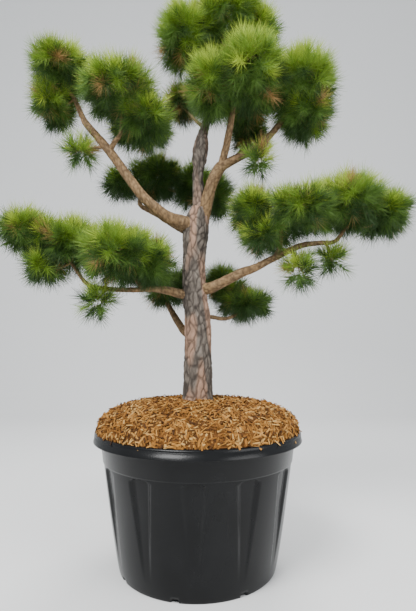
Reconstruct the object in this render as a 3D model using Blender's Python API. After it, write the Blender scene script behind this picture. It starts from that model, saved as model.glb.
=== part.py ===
"""A Scots pine grown as a large outdoor bonsai and clipped into clouds, in its black nursery pot.

Units are metres and +Z is up. The origin is the middle of the pot's flat underside, and the
front of the tree faces -Y. Each bough is one tapering limb, cut clear of the limb that bears
it. Each cloud of foliage is one solid: a lumpy clipped core, the twigs that branch inside it
from one stem, and the sprays of needles that stand out of it.
"""

import math
import random
from collections import namedtuple

import bmesh
import bpy
import numpy as np
from mathutils import Vector, noise

# Clearance between pieces that touch
GAP = 0.0003

# Pot: a tapered tub with a rolled lip, a plain band under it, flutes and drain slots
POT_HEIGHT = 0.451
LIP_RADIUS = 0.361
LIP_DEPTH = 0.033
LIP_WIDTH = 0.020
BAND_TOP_RADIUS = 0.336
BAND_FOOT_RADIUS = 0.328
BAND_FOOT = 0.354
NECK_RADIUS = 0.325
FOOT_RADIUS = 0.266
WALL = 0.003
POT_FLOOR = 0.004
FLUTES = 12
FLUTE_DEPTH = 0.009
FLUTE_HALF_ANGLE = math.radians(8.0)
FLUTE_FOOT = 0.045
FLUTE_TURN = math.radians(-1.0)
DRAINS = 8
DRAIN_WIDTH = 0.023
DRAIN_HEIGHT = 0.011
DRAIN_DEPTH = 0.012
DRAIN_TURN = math.radians(-58.0)

# Filling of the pot: the root ball, and a heap of bark mulch on it
MULCH_FOOT = 0.400
MULCH_HEAP = 0.105
GROUND = 0.548
GROUND_PAD = 0.078
LUMP = 0.004
FILLING_SIDES = 30
FILLING_CLEARANCE = 0.0035
FOOT_CLEARANCE = 0.006

# Limbs
TRUNK_SIDES = 14
BOUGH_SIDES = 8
SPUR_SIDES = 5
TRUNK_RING_SPACING = 0.042
BOUGH_RING_SPACING = 0.050
TRUNK_FLARE = 0.009

# Foliage
CORE_SHARE = 0.77
CORE_LUMP = 0.07
SPRAY_SPACING = 0.150
LEAST_SPRAYS = 5
NEEDLE_LENGTH = 0.058
NEEDLES = 4
SPRAY_FAN = math.radians(56.0)
SPRAY_TWIST = 0.35
SPRAY_THICK = 0.006
SPRAY_ROOM = 0.006
NOTCH_SHARE = 0.26
ROOT_DEPTH = 0.020
SHOOT_LIFT = 0.45
TWIG_RADIUS = 0.0022
PIPE_POWER = 2.4
PATH_WEIGHT = 0.4
TWIG_STEP = 0.045
TWIG_SAG = 0.08
HUB_DROP = 0.25
SPACE_MARGIN = 0.05
LIMB_CLEARANCE = 0.003
TIDY_TRIES = ((2e-5, math.radians(1.0)), (5e-6, math.radians(0.3)), (1e-6, 0.0), (0.0, 0.0))
GOLDEN_ANGLE = math.pi * (3.0 - math.sqrt(5.0))

# A limb's path holds points (x, y, z, radius) from its root, inside the limb that bears it
Limb = namedtuple("Limb", "name bearer sides path")
# A lobe is (x, y, z, half width, half depth, half height) of the outline that the needles fill
Mass = namedtuple("Mass", "name limb seed cored lobes")

TRUNK_PATH = [
    (-0.003, 0.000, GROUND + GAP, 0.0520),
    (-0.001, 0.000, 0.733, 0.0507),
    (-0.004, 0.000, 0.841, 0.0483),
    (-0.016, 0.000, 0.955, 0.0440),
    (-0.015, 0.000, 1.071, 0.0425),
    (-0.011, 0.000, 1.150, 0.0480),
    (-0.002, 0.000, 1.215, 0.0430),
    (0.005, 0.000, 1.250, 0.0330),
]

LIMBS = [
    Limb("trunk", None, TRUNK_SIDES, TRUNK_PATH),
    Limb("leader", "trunk", BOUGH_SIDES, [
        (0.004, 0.000, 1.200, 0.0270),
        (-0.003, 0.000, 1.361, 0.0207),
        (0.000, 0.000, 1.415, 0.0230),
        (0.003, 0.002, 1.445, 0.0300),
        (0.009, 0.006, 1.500, 0.0285),
        (0.014, 0.012, 1.540, 0.0215),
        (0.031, 0.020, 1.605, 0.0155),
        (0.059, 0.030, 1.706, 0.0130),
        (0.088, 0.030, 1.885, 0.0095),
    ]),
    Limb("upper_right_bough", "trunk", BOUGH_SIDES, [
        (0.012, 0.000, 1.200, 0.0270),
        (0.042, -0.020, 1.315, 0.0222),
        (0.055, -0.030, 1.349, 0.0221),
        (0.082, -0.045, 1.393, 0.0215),
        (0.122, -0.055, 1.409, 0.0146),
        (0.191, -0.065, 1.444, 0.0130),
        (0.231, -0.070, 1.468, 0.0127),
        (0.293, -0.050, 1.547, 0.0111),
        (0.335, -0.045, 1.610, 0.0080),
    ]),
    Limb("upper_right_fork", "upper_right_bough", BOUGH_SIDES, [
        (0.082, -0.046, 1.392, 0.0145),
        (0.102, -0.070, 1.464, 0.0136),
        (0.119, -0.090, 1.549, 0.0115),
        (0.130, -0.100, 1.610, 0.0080),
    ]),
    Limb("upper_right_back_fork", "upper_right_bough", SPUR_SIDES, [
        (0.090, -0.045, 1.398, 0.0105),
        (0.115, 0.000, 1.440, 0.0093),
        (0.150, 0.050, 1.480, 0.0087),
        (0.195, 0.120, 1.560, 0.0065),
    ]),
    Limb("upper_left_bough", "trunk", BOUGH_SIDES, [
        (-0.012, 0.000, 1.175, 0.0290),
        (-0.053, -0.020, 1.190, 0.0262),
        (-0.103, -0.040, 1.201, 0.0236),
        (-0.138, -0.050, 1.222, 0.0217),
        (-0.210, -0.060, 1.289, 0.0185),
        (-0.324, -0.050, 1.447, 0.0166),
        (-0.417, -0.015, 1.565, 0.0132),
        (-0.441, 0.000, 1.605, 0.0114),
        (-0.480, 0.015, 1.690, 0.0080),
    ]),
    Limb("upper_left_fork", "upper_left_bough", SPUR_SIDES, [
        (-0.326, -0.050, 1.449, 0.0110),
        (-0.308, -0.060, 1.477, 0.0095),
        (-0.280, -0.078, 1.510, 0.0075),
        (-0.274, -0.095, 1.590, 0.0055),
    ]),
    Limb("upper_back_bough", "leader", SPUR_SIDES, [
        (0.024, 0.014, 1.570, 0.0085),
        (-0.012, 0.060, 1.625, 0.0066),
        (-0.052, 0.118, 1.700, 0.0052),
    ]),
    Limb("middle_back_bough", "trunk", BOUGH_SIDES, [
        (-0.015, 0.005, 1.150, 0.0160),
        (-0.080, 0.060, 1.196, 0.0142),
        (-0.157, 0.120, 1.259, 0.0120),
        (-0.203, 0.160, 1.292, 0.0104),
        (-0.250, 0.200, 1.334, 0.0095),
        (-0.245, 0.240, 1.410, 0.0065),
    ]),
    Limb("right_bough", "trunk", BOUGH_SIDES, [
        (-0.010, 0.000, 0.945, 0.0240),
        (0.028, -0.010, 0.947, 0.0222),
        (0.060, -0.020, 0.956, 0.0200),
        (0.132, -0.035, 0.990, 0.0175),
        (0.161, -0.040, 1.004, 0.0175),
        (0.203, -0.050, 1.017, 0.0143),
        (0.262, -0.060, 1.047, 0.0124),
        (0.360, -0.075, 1.091, 0.0106),
        (0.430, -0.070, 1.103, 0.0089),
        (0.488, -0.060, 1.112, 0.0080),
        (0.535, -0.052, 1.170, 0.0062),
    ]),
    Limb("right_fork", "right_bough", SPUR_SIDES, [
        (0.270, -0.062, 1.050, 0.0095),
        (0.290, -0.066, 1.090, 0.0085),
        (0.296, -0.070, 1.160, 0.0065),
    ]),
    Limb("left_bough", "trunk", BOUGH_SIDES, [
        (-0.014, 0.000, 0.925, 0.0200),
        (-0.060, -0.010, 0.928, 0.0176),
        (-0.120, -0.030, 0.940, 0.0144),
        (-0.172, -0.040, 0.943, 0.0112),
        (-0.242, -0.050, 0.938, 0.0096),
        (-0.351, -0.040, 0.946, 0.0086),
        (-0.408, -0.025, 0.969, 0.0078),
        (-0.466, -0.005, 1.045, 0.0062),
    ]),
    Limb("left_fork", "left_bough", SPUR_SIDES, [
        (-0.195, -0.044, 0.940, 0.0085),
        (-0.215, -0.056, 0.966, 0.0078),
        (-0.235, -0.066, 1.010, 0.0062),
    ]),
    Limb("low_left_bough", "trunk", BOUGH_SIDES, [
        (-0.005, 0.000, 0.760, 0.0165),
        (-0.050, 0.030, 0.792, 0.0150),
        (-0.071, 0.060, 0.819, 0.0138),
        (-0.093, 0.100, 0.852, 0.0135),
        (-0.116, 0.140, 0.891, 0.0109),
        (-0.137, 0.172, 0.932, 0.0080),
    ]),
    Limb("low_right_bough", "trunk", SPUR_SIDES, [
        (0.000, 0.005, 0.842, 0.0100),
        (0.046, 0.050, 0.849, 0.0085),
        (0.101, 0.120, 0.846, 0.0075),
        (0.156, 0.185, 0.872, 0.0065),
        (0.175, 0.208, 0.900, 0.0055),
    ]),
    Limb("upper_right_spur", "upper_right_bough", SPUR_SIDES, [
        (0.186, -0.064, 1.441, 0.0055),
        (0.203, -0.074, 1.425, 0.0045),
        (0.212, -0.080, 1.410, 0.0035),
    ]),
    Limb("upper_left_spur", "upper_left_bough", SPUR_SIDES, [
        (-0.335, -0.046, 1.462, 0.0060),
        (-0.375, -0.040, 1.470, 0.0050),
        (-0.418, -0.030, 1.466, 0.0036),
    ]),
    Limb("left_spur", "left_bough", SPUR_SIDES, [
        (-0.325, -0.043, 0.943, 0.0060),
        (-0.340, -0.052, 0.925, 0.0048),
        (-0.350, -0.058, 0.907, 0.0036),
    ]),
    Limb("right_spur", "right_bough", SPUR_SIDES, [
        (0.325, -0.070, 1.076, 0.0060),
        (0.342, -0.082, 1.050, 0.0048),
        (0.350, -0.088, 1.015, 0.0036),
    ]),
    Limb("right_outer_spur", "right_bough", SPUR_SIDES, [
        (0.446, -0.068, 1.104, 0.0055),
        (0.462, -0.070, 1.085, 0.0045),
        (0.470, -0.070, 1.062, 0.0035),
    ]),
]

MASSES = [
    Mass("top_cloud", "leader", 11, True, [
        (-0.046, 0.000, 1.918, 0.130, 0.159, 0.128),
        (0.113, 0.020, 1.986, 0.166, 0.189, 0.111),
        (0.222, 0.030, 1.940, 0.107, 0.152, 0.118),
    ]),
    Mass("upper_right_cloud", "upper_right_fork", 12, True, [
        (0.053, -0.120, 1.652, 0.110, 0.140, 0.121),
        (0.183, -0.140, 1.687, 0.134, 0.165, 0.134),
        (0.179, 0.020, 1.653, 0.097, 0.122, 0.085),
    ]),
    Mass("upper_right_tip_cloud", "upper_right_bough", 13, True, [
        (0.377, -0.050, 1.687, 0.141, 0.183, 0.138),
        (0.395, -0.040, 1.583, 0.111, 0.146, 0.089),
    ]),
    Mass("upper_right_back_cloud", "upper_right_back_fork", 14, True, [
        (0.209, 0.160, 1.612, 0.085, 0.104, 0.072),
    ]),
    Mass("upper_left_tip_cloud", "upper_left_bough", 15, True, [
        (-0.527, 0.000, 1.790, 0.123, 0.159, 0.100),
        (-0.571, 0.050, 1.678, 0.095, 0.134, 0.087),
    ]),
    Mass("upper_left_cloud", "upper_left_fork", 16, True, [
        (-0.289, -0.100, 1.649, 0.144, 0.165, 0.101),
        (-0.189, -0.060, 1.557, 0.103, 0.134, 0.088),
        (-0.232, 0.050, 1.575, 0.118, 0.122, 0.070),
    ]),
    Mass("upper_back_cloud", "upper_back_bough", 17, True, [
        (-0.073, 0.150, 1.738, 0.078, 0.104, 0.067),
    ]),
    Mass("middle_back_cloud", "middle_back_bough", 18, True, [
        (-0.174, 0.260, 1.462, 0.139, 0.146, 0.105),
        (-0.335, 0.240, 1.432, 0.077, 0.104, 0.065),
        (-0.045, 0.300, 1.445, 0.111, 0.134, 0.098),
        (0.078, 0.270, 1.390, 0.066, 0.098, 0.096),
    ]),
    Mass("left_tip_cloud", "left_bough", 19, True, [
        (-0.637, 0.000, 1.161, 0.108, 0.134, 0.089),
        (-0.475, 0.020, 1.117, 0.127, 0.159, 0.105),
        (-0.565, 0.000, 1.030, 0.074, 0.098, 0.060),
    ]),
    Mass("left_cloud", "left_fork", 20, True, [
        (-0.274, -0.080, 1.058, 0.147, 0.165, 0.119),
        (-0.166, -0.040, 1.030, 0.093, 0.140, 0.101),
    ]),
    Mass("right_cloud", "right_fork", 21, True, [
        (0.201, -0.020, 1.231, 0.103, 0.134, 0.088),
        (0.241, -0.040, 1.129, 0.080, 0.110, 0.058),
        (0.357, -0.100, 1.206, 0.133, 0.159, 0.098),
    ]),
    Mass("right_tip_cloud", "right_bough", 22, True, [
        (0.531, -0.050, 1.248, 0.145, 0.171, 0.116),
        (0.679, -0.020, 1.220, 0.110, 0.140, 0.096),
    ]),
    Mass("low_right_cloud", "low_right_bough", 23, True, [
        (0.093, 0.220, 0.994, 0.083, 0.104, 0.083),
        (0.188, 0.220, 0.911, 0.116, 0.122, 0.075),
    ]),
    Mass("low_left_cloud", "low_left_bough", 24, True, [
        (-0.141, 0.190, 0.969, 0.082, 0.104, 0.074),
        (-0.042, 0.250, 1.002, 0.077, 0.098, 0.077),
    ]),
    Mass("upper_right_tuft", "upper_right_spur", 25, False, [
        (0.216, -0.082, 1.402, 0.055, 0.050, 0.058),
    ]),
    Mass("upper_left_tuft", "upper_left_spur", 26, False, [
        (-0.439, -0.025, 1.457, 0.070, 0.060, 0.062),
    ]),
    Mass("left_tuft", "left_spur", 27, False, [
        (-0.355, -0.062, 0.892, 0.066, 0.058, 0.064),
    ]),
    Mass("right_tuft", "right_spur", 28, False, [
        (0.352, -0.090, 1.000, 0.070, 0.060, 0.072),
    ]),
    Mass("right_outer_tuft", "right_outer_spur", 29, False, [
        (0.475, -0.070, 1.042, 0.045, 0.045, 0.048),
    ]),
]


def clear_scene():
    """Removes what the scene holds."""
    for thing in list(bpy.data.objects):
        bpy.data.objects.remove(thing)


def material(name, colour, roughness):
    """Returns a Principled material."""
    made = bpy.data.materials.new(name)
    made.use_nodes = True
    shader = made.node_tree.nodes["Principled BSDF"]
    shader.inputs["Base Color"].default_value = (*colour, 1.0)
    shader.inputs["Roughness"].default_value = roughness
    shader.inputs["Metallic"].default_value = 0.0
    return made


def add_object(name, mesh, finish, collection=None):
    """Links a mesh to the scene as an object with one material."""
    made = bpy.data.objects.new(name, mesh)
    if finish is not None:
        mesh.materials.clear()
        mesh.materials.append(finish)
    (collection or bpy.context.scene.collection).objects.link(made)
    return made


def mesh_from(name, points, faces):
    """Returns a triangle mesh whose faces point outwards."""
    mesh = bpy.data.meshes.new(name)
    mesh.from_pydata([tuple(point) for point in points], [], faces)
    shape = bmesh.new()
    shape.from_mesh(mesh)
    bmesh.ops.triangulate(shape, faces=shape.faces)
    bmesh.ops.recalc_face_normals(shape, faces=shape.faces)
    shape.to_mesh(mesh)
    shape.free()
    return mesh


def skin(name, rings):
    """Returns the closed mesh through rings of points, with a flat fan at each end."""
    count = len(rings[0])
    points = [point for ring in rings for point in ring]
    faces = []
    for row in range(len(rings) - 1):
        for column in range(count):
            after = (column + 1) % count
            low, high = row * count, (row + 1) * count
            faces.append((low + column, low + after, high + after, high + column))
    for ring, first in ((rings[0], 0), (rings[-1], (len(rings) - 1) * count)):
        points.append(sum((Vector(point) for point in ring), Vector()) / count)
        hub = len(points) - 1
        faces += [(first + column, first + (column + 1) % count, hub) for column in range(count)]
    return mesh_from(name, points, faces)


def turned_ring(radius, height, angles):
    """Returns the points of a level ring, with the front at angle 0."""
    return [(radius * math.sin(angle), -radius * math.cos(angle), height) for angle in angles]


# Pot

def wall_radius(height):
    """Returns the outer radius of the pot's tapered wall between its flutes."""
    share = max(height, 0.0) / BAND_FOOT
    return FOOT_RADIUS + (NECK_RADIUS - FOOT_RADIUS) * share ** 0.85


def flute_share(height):
    """Returns how full a flute is at a height: 1 near its arched top and 0 at its foot."""
    rise = (height - FLUTE_FOOT) / (BAND_FOOT - FLUTE_FOOT)
    return min(max(rise, 0.0), 1.0)


def flute_depth(height):
    """Returns the flute's depth, which fades towards the foot and ends at the band."""
    if height >= BAND_FOOT:
        return 0.0
    return FLUTE_DEPTH * min(1.0, 1.6 * flute_share(height))


def fluted_ring(height, inset):
    """Returns a ring of the wall, with four points for each flute."""
    share = flute_share(height)
    arch = 0.55 if BAND_FOOT - 0.010 < height < BAND_FOOT else 1.0
    half = FLUTE_HALF_ANGLE * arch * (0.35 + 0.65 * share)
    outer = wall_radius(height) - inset
    points = []
    for flute in range(FLUTES):
        middle = FLUTE_TURN + math.tau * flute / FLUTES
        for offset, depth in ((-1.0, 0.0), (-0.6, 1.0), (0.6, 1.0), (1.0, 0.0)):
            radius = outer - depth * flute_depth(height)
            points += turned_ring(radius, height, [middle + offset * half])
    return points


def pot_angles():
    """Returns the angles of the plain rings above the flutes."""
    offsets = [share * FLUTE_HALF_ANGLE for share in (-1.0, -0.35, 0.35, 1.0)]
    return [FLUTE_TURN + math.tau * flute / FLUTES + offset
            for flute in range(FLUTES) for offset in offsets]


def make_pot(finish):
    """Makes the tub: fluted wall, band, rolled lip, inner wall and floor."""
    angles = pot_angles()
    lip_foot = POT_HEIGHT - LIP_DEPTH
    inner_lip = LIP_RADIUS - LIP_WIDTH
    fluted = (0.0, FLUTE_FOOT, 0.17, 0.33, BAND_FOOT - 0.006)
    rings = [fluted_ring(height, 0.0) for height in fluted]
    profile = (
        (NECK_RADIUS, BAND_FOOT),
        (BAND_FOOT_RADIUS, BAND_FOOT + 0.002),
        (BAND_TOP_RADIUS, lip_foot),
        (LIP_RADIUS, lip_foot),
        (LIP_RADIUS, POT_HEIGHT - 0.006),
        (LIP_RADIUS - 0.006, POT_HEIGHT),
        (inner_lip, POT_HEIGHT),
        (BAND_FOOT_RADIUS - WALL, BAND_FOOT + 0.008),
        (NECK_RADIUS - WALL, BAND_FOOT + 0.004),
    )
    rings += [turned_ring(radius, height, angles) for radius, height in profile]
    rings += [fluted_ring(height, WALL) for height in (BAND_FOOT - 0.002, 0.33, 0.17, POT_FLOOR)]
    pot = add_object("pot", skin("pot", rings), finish)
    cut_drains(pot)


def cut_drains(pot):
    """Cuts the drain slots through the corner between the wall and the floor."""
    shape = bmesh.new()
    for slot in range(DRAINS):
        angle = DRAIN_TURN + math.tau * slot / DRAINS
        block = bmesh.ops.create_cube(shape, size=1.0)["verts"]
        for corner in block:
            along = FOOT_RADIUS - DRAIN_DEPTH / 2.0 + corner.co.y * 2.0 * DRAIN_DEPTH
            along += 0.5 * DRAIN_DEPTH
            across = corner.co.x * DRAIN_WIDTH
            height = DRAIN_HEIGHT * (corner.co.z + 0.5) * 2.0 - DRAIN_HEIGHT
            corner.co = (
                along * math.sin(angle) + across * math.cos(angle),
                -along * math.cos(angle) + across * math.sin(angle),
                height,
            )
    bmesh.ops.recalc_face_normals(shape, faces=shape.faces)
    mesh = bpy.data.meshes.new("drain_cutters")
    shape.to_mesh(mesh)
    shape.free()
    cutter = add_object("drain_cutters", mesh, None)
    cutter.hide_render = True
    cutter.display_type = "WIRE"
    cut = pot.modifiers.new("drain slots", "BOOLEAN")
    cut.operation = "DIFFERENCE"
    cut.solver = "EXACT"
    cut.object = cutter


# Filling of the pot

def make_root_ball(finish):
    """Makes the soil and roots that fill the pot up to the mulch."""
    angles = [math.tau * step / FILLING_SIDES for step in range(FILLING_SIDES)]
    top = MULCH_FOOT - GAP
    rings = []
    for height in (POT_FLOOR + GAP, 0.17, 0.33, BAND_FOOT - 0.001):
        inner = wall_radius(height) - WALL - flute_depth(height) - FILLING_CLEARANCE
        inner -= FOOT_CLEARANCE * (1.0 - flute_share(height))
        rings.append(turned_ring(inner, height, angles))
    inner = BAND_FOOT_RADIUS - WALL - FILLING_CLEARANCE
    rings.append(turned_ring(inner, BAND_FOOT + 0.012, angles))
    rings.append(turned_ring(inner, top, angles))
    add_object("root_ball", skin("root_ball", rings), finish)


def heap_height(radius, edge):
    """Returns the height of the mulch at a radius: a round heap, level in the middle."""
    fall = max(0.0, 1.0 - (radius / edge) ** 3)
    return POT_HEIGHT + 0.001 + MULCH_HEAP * fall ** 0.4


def make_mulch(finish):
    """Makes the heaped bark mulch, with a level pad where the trunk stands."""
    angles = [math.tau * step / FILLING_SIDES for step in range(FILLING_SIDES)]
    edge = LIP_RADIUS - LIP_WIDTH - FILLING_CLEARANCE
    rings = [turned_ring(BAND_FOOT_RADIUS - WALL - FILLING_CLEARANCE, MULCH_FOOT, angles)]
    rings.append(turned_ring(edge, POT_HEIGHT, angles))
    for share in (0.97, 0.90, 0.78, 0.58, 0.38):
        radius = edge * share
        ring = []
        for x, y, z in turned_ring(radius, heap_height(radius, edge), angles):
            z += LUMP * noise.noise(Vector((x, y, 0.0)) * 22.0)
            ring.append((x, y, z))
        rings.append(ring)
    rings.append(turned_ring(GROUND_PAD, GROUND, angles))
    add_object("bark_mulch", skin("bark_mulch", rings), finish)


# Limbs

def smooth_path(path, spacing):
    """Returns points (position, radius) along a smooth curve through a limb's path."""
    knots = [np.array(point) for point in path]
    knots = [2.0 * knots[0] - knots[1]] + knots + [2.0 * knots[-1] - knots[-2]]
    samples = []
    for before, start, end, after in zip(knots, knots[1:], knots[2:], knots[3:]):
        steps = max(1, round(float(np.linalg.norm((end - start)[:3])) / spacing))
        for step in range(steps):
            t = step / steps
            samples.append(0.5 * (2.0 * start + (end - before) * t
                                  + (2.0 * before - 5.0 * start + 4.0 * end - after) * t ** 2
                                  + (3.0 * start - before - 3.0 * end + after) * t ** 3))
    samples.append(knots[-2])
    return [(Vector(sample[:3]), float(sample[3])) for sample in samples]


def limb_mesh(name, samples, sides, level_foot):
    """Returns the skin of a limb, with slight swellings and a level cut where it has one."""
    side = Vector((1.0, 0.0, 0.0))
    rings = []
    for index, (centre, radius) in enumerate(samples):
        before = samples[max(index - 1, 0)][0]
        after = samples[min(index + 1, len(samples) - 1)][0]
        along = (after - before).normalized()
        if level_foot and index == 0:
            along = Vector((0.0, 0.0, 1.0))
        side = (side - along * side.dot(along)).normalized()
        other = along.cross(side)
        ring = []
        for step in range(sides):
            angle = math.tau * step / sides
            outward = side * math.cos(angle) + other * math.sin(angle)
            swelling = 1.0 + 0.05 * noise.noise(centre * 14.0 + outward * 1.3)
            flare = 0.0
            if level_foot:
                height = centre.z - samples[0][0].z
                roots = 0.75 + 0.25 * math.cos(5.0 * angle + 0.6)
                flare = TRUNK_FLARE * roots * math.exp(-height / 0.028)
            ring.append(centre + outward * (radius * swelling + flare))
        rings.append(ring)
    return skin(name, rings)


def swollen_copy(mesh, grown):
    """Returns a copy of a closed mesh whose skin stands further out by about a gap."""
    copy = mesh.copy()
    shape = bmesh.new()
    shape.from_mesh(copy)
    shape.normal_update()
    moves = [(corner, corner.normal.copy() * corner.calc_shell_factor()) for corner in shape.verts]
    for corner, move in moves:
        corner.co += move * grown
    shape.to_mesh(copy)
    shape.free()
    return copy


def combine(target, operation, solver, others):
    """Applies one Boolean between an object and a collection, and removes the collection."""
    modifier = target.modifiers.new("combine", "BOOLEAN")
    modifier.operation = operation
    modifier.solver = solver
    modifier.operand_type = "COLLECTION"
    modifier.collection = others
    graph = bpy.context.evaluated_depsgraph_get()
    graph.update()
    result = bpy.data.meshes.new_from_object(target.evaluated_get(graph))
    target.modifiers.remove(modifier)
    target.data = result
    for helper in list(others.objects):
        bpy.data.objects.remove(helper)
    bpy.data.collections.remove(others)


def bodies_of(shape):
    """Returns the sets of faces that hang together, smallest first."""
    unseen = set(shape.faces)
    bodies = []
    while unseen:
        body = {unseen.pop()}
        front = list(body)
        while front:
            for edge in front.pop().edges:
                for neighbour in edge.link_faces:
                    if neighbour in unseen:
                        unseen.discard(neighbour)
                        body.add(neighbour)
                        front.append(neighbour)
        bodies.append(body)
    return sorted(bodies, key=lambda body: sum(face.calc_area() for face in body))


def keep_largest_body(mesh):
    """Drops loose scraps and sealed hollows, and merges what is flat, while it stays closed."""
    for merge, flat in TIDY_TRIES:
        shape = bmesh.new()
        shape.from_mesh(mesh)
        if merge:
            bmesh.ops.remove_doubles(shape, verts=shape.verts, dist=merge)
            bmesh.ops.dissolve_degenerate(shape, edges=shape.edges, dist=merge)
        scraps = [face for body in bodies_of(shape)[:-1] for face in body]
        bmesh.ops.delete(shape, geom=scraps, context="FACES")
        bmesh.ops.dissolve_limit(shape, angle_limit=flat, verts=shape.verts, edges=shape.edges)
        bmesh.ops.triangulate(shape, faces=shape.faces)
        closed = all(len(edge.link_faces) == 2 for edge in shape.edges)
        closed = closed and len(bodies_of(shape)) == 1
        if closed:
            bmesh.ops.recalc_face_normals(shape, faces=shape.faces)
            shape.to_mesh(mesh)
        shape.free()
        if closed:
            return


def helper_collection(name):
    """Returns a new collection linked to the scene."""
    made = bpy.data.collections.new(name)
    bpy.context.scene.collection.children.link(made)
    return made


def make_limbs(finishes):
    """Makes every limb, each cut clear of its bearer and of the limbs made before it."""
    samples = {}
    made = {}
    for limb in LIMBS:
        level_foot = limb.bearer is None
        spacing = TRUNK_RING_SPACING if level_foot else BOUGH_RING_SPACING
        samples[limb.name] = smooth_path(limb.path, spacing)
        mesh = limb_mesh(limb.name, samples[limb.name], limb.sides, level_foot)
        finish = finishes["trunk_bark" if limb.name in ("trunk", "leader") else "bough_bark"]
        body = add_object(limb.name, mesh, finish)
        cutters = helper_collection("cutters")
        root, reach = samples[limb.name][0][0], samples[limb.name][0][1] * 4.0
        for other, earlier in made.items():
            near = min((root - centre).length - radius for centre, radius in samples[other])
            if other == limb.bearer or near < reach:
                swollen = swollen_copy(earlier.data, GAP * 1.1)
                add_object("cutter", swollen, None, cutters)
        if cutters.objects:
            combine(body, "DIFFERENCE", "EXACT", cutters)
            keep_largest_body(body.data)
        else:
            bpy.data.collections.remove(cutters)
        body.data.name = limb.name
        made[limb.name] = body
    return samples, made


# Foliage

def reach(point, lobes):
    """Returns how far out a point lies in a mass: 0 at a lobe's middle, 1 at the outline."""
    return min(math.sqrt(((point.x - lobe[0]) / lobe[3]) ** 2
                         + ((point.y - lobe[1]) / lobe[4]) ** 2
                         + ((point.z - lobe[2]) / lobe[5]) ** 2) for lobe in lobes)


def limb_distance(point, tubes):
    """Returns the distance from a point to the nearest limb's skin."""
    offsets = tubes[:, :3] - np.array(point)
    return float((np.sqrt((offsets ** 2).sum(axis=1)) - tubes[:, 3]).min())


def is_own_space(point, mass, margin):
    """Tells whether a point lies further inside this mass than inside any other."""
    own = reach(point, mass.lobes)
    return own <= 1.0 and all(reach(point, other.lobes) > own + margin
                              for other in MASSES if other is not mass)


def core_share(unit, middle):
    """Returns how far out the lumpy core reaches in a direction, as a share of the outline."""
    return CORE_SHARE * (1.0 + CORE_LUMP * noise.noise(unit * 2.1 + middle * 9.0))


def even_directions(count, turn):
    """Yields unit vectors spread evenly over a sphere by the golden angle."""
    for index in range(count):
        height = 1.0 - 2.0 * (index + 0.5) / count
        level = math.sqrt(1.0 - height ** 2)
        angle = turn + GOLDEN_ANGLE * index
        yield Vector((level * math.cos(angle), level * math.sin(angle), height))


def spray_sites(mass, chance):
    """Returns (site, axis) pairs spread evenly over a mass, where a spray leaves its twig."""
    sites = []
    for lobe in mass.lobes:
        middle, half = Vector(lobe[:3]), Vector(lobe[3:])
        mean = (half.x * half.y * half.z) ** (1.0 / 3.0)
        count = max(LEAST_SPRAYS, round(4.0 * math.pi * mean ** 2 / SPRAY_SPACING ** 2))
        for unit in even_directions(count, chance.uniform(0.0, math.tau)):
            outline = middle + unit * half
            outward = Vector(unit / half for unit, half in zip(unit, half)).normalized()
            share = core_share(unit, middle) if mass.cored else chance.uniform(0.35, 0.5)
            lift = SHOOT_LIFT if outward.z > -0.3 else 0.0
            axis = (outward + Vector((0.0, 0.0, lift))).normalized()
            site = middle.lerp(outline, share)
            if reach(outline, mass.lobes) > 0.97 and is_own_space(site, mass, SPACE_MARGIN):
                sites.append((site, axis))
    return sites


def grow_twigs(root, hubs, tips):
    """Joins each hub and then each tip, nearest first, to the tree grown so far.

    Returns the points, each point's parent, and the chain of points that each twig adds.
    """
    points = [root]
    parents = [-1]
    lengths = [0.0]
    chains = []

    def distance(place):
        return (place - root).length

    for tip in sorted(hubs, key=distance) + sorted(tips, key=distance):
        costs = [(tip - point).length + PATH_WEIGHT * length
                 for point, length in zip(points, lengths)]
        parent = costs.index(min(costs))
        start, chain = points[parent], [parent]
        span = tip - start
        steps = max(1, round(span.length / TWIG_STEP))
        for step in range(1, steps + 1):
            share = step / steps
            sag = Vector((0.0, 0.0, -TWIG_SAG * span.length * math.sin(math.pi * share)))
            points.append(start + span * share + sag)
            lengths.append(lengths[parent] + span.length / steps)
            parents.append(parent)
            parent = len(points) - 1
            chain.append(parent)
        chains.append(chain)
    return points, parents, chains


def twig_radii(parents, tip_chains):
    """Returns each point's radius: a twig is as thick as all that grows out of it together."""
    loads = [0.0] * len(parents)
    for chain in tip_chains:
        loads[chain[-1]] += TWIG_RADIUS ** PIPE_POWER
    for index in range(len(parents) - 1, 0, -1):
        loads[parents[index]] += loads[index]
    return [load ** (1.0 / PIPE_POWER) for load in loads]


def spray_points(site, axis, turn, lengths):
    """Returns a spray's outline, root first, with needle tips and the notches between them."""
    side = axis.orthogonal().normalized()
    side = side * math.cos(turn) + axis.cross(side) * math.sin(turn)
    across = axis.cross(side)
    outline = [site - axis * ROOT_DEPTH]
    for needle, length in enumerate(lengths):
        angle = SPRAY_FAN * (2.0 * needle / (NEEDLES - 1) - 1.0)
        tilt = across * (SPRAY_TWIST if needle % 2 else -SPRAY_TWIST)
        heading = (axis * math.cos(angle) + side * math.sin(angle) + tilt).normalized()
        if needle:
            notch = SPRAY_FAN * (2.0 * (needle - 0.5) / (NEEDLES - 1) - 1.0)
            inward = axis * math.cos(notch) + side * math.sin(notch)
            outline.append(site + inward * NEEDLE_LENGTH * NOTCH_SHARE)
        outline.append(site + heading * length)
    middle = site + axis * NEEDLE_LENGTH * NOTCH_SHARE * 0.4
    return outline, middle + across * SPRAY_THICK, middle - across * SPRAY_THICK


def spray_mesh(outline, front, back):
    """Returns a spray as a closed toothed blade, thick in the middle and sharp at its outline."""
    count = len(outline)
    faces = []
    for index in range(count):
        after = (index + 1) % count
        faces += [(count, index, after), (count + 1, after, index)]
    return mesh_from("spray", outline + [front, back], faces)


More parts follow.
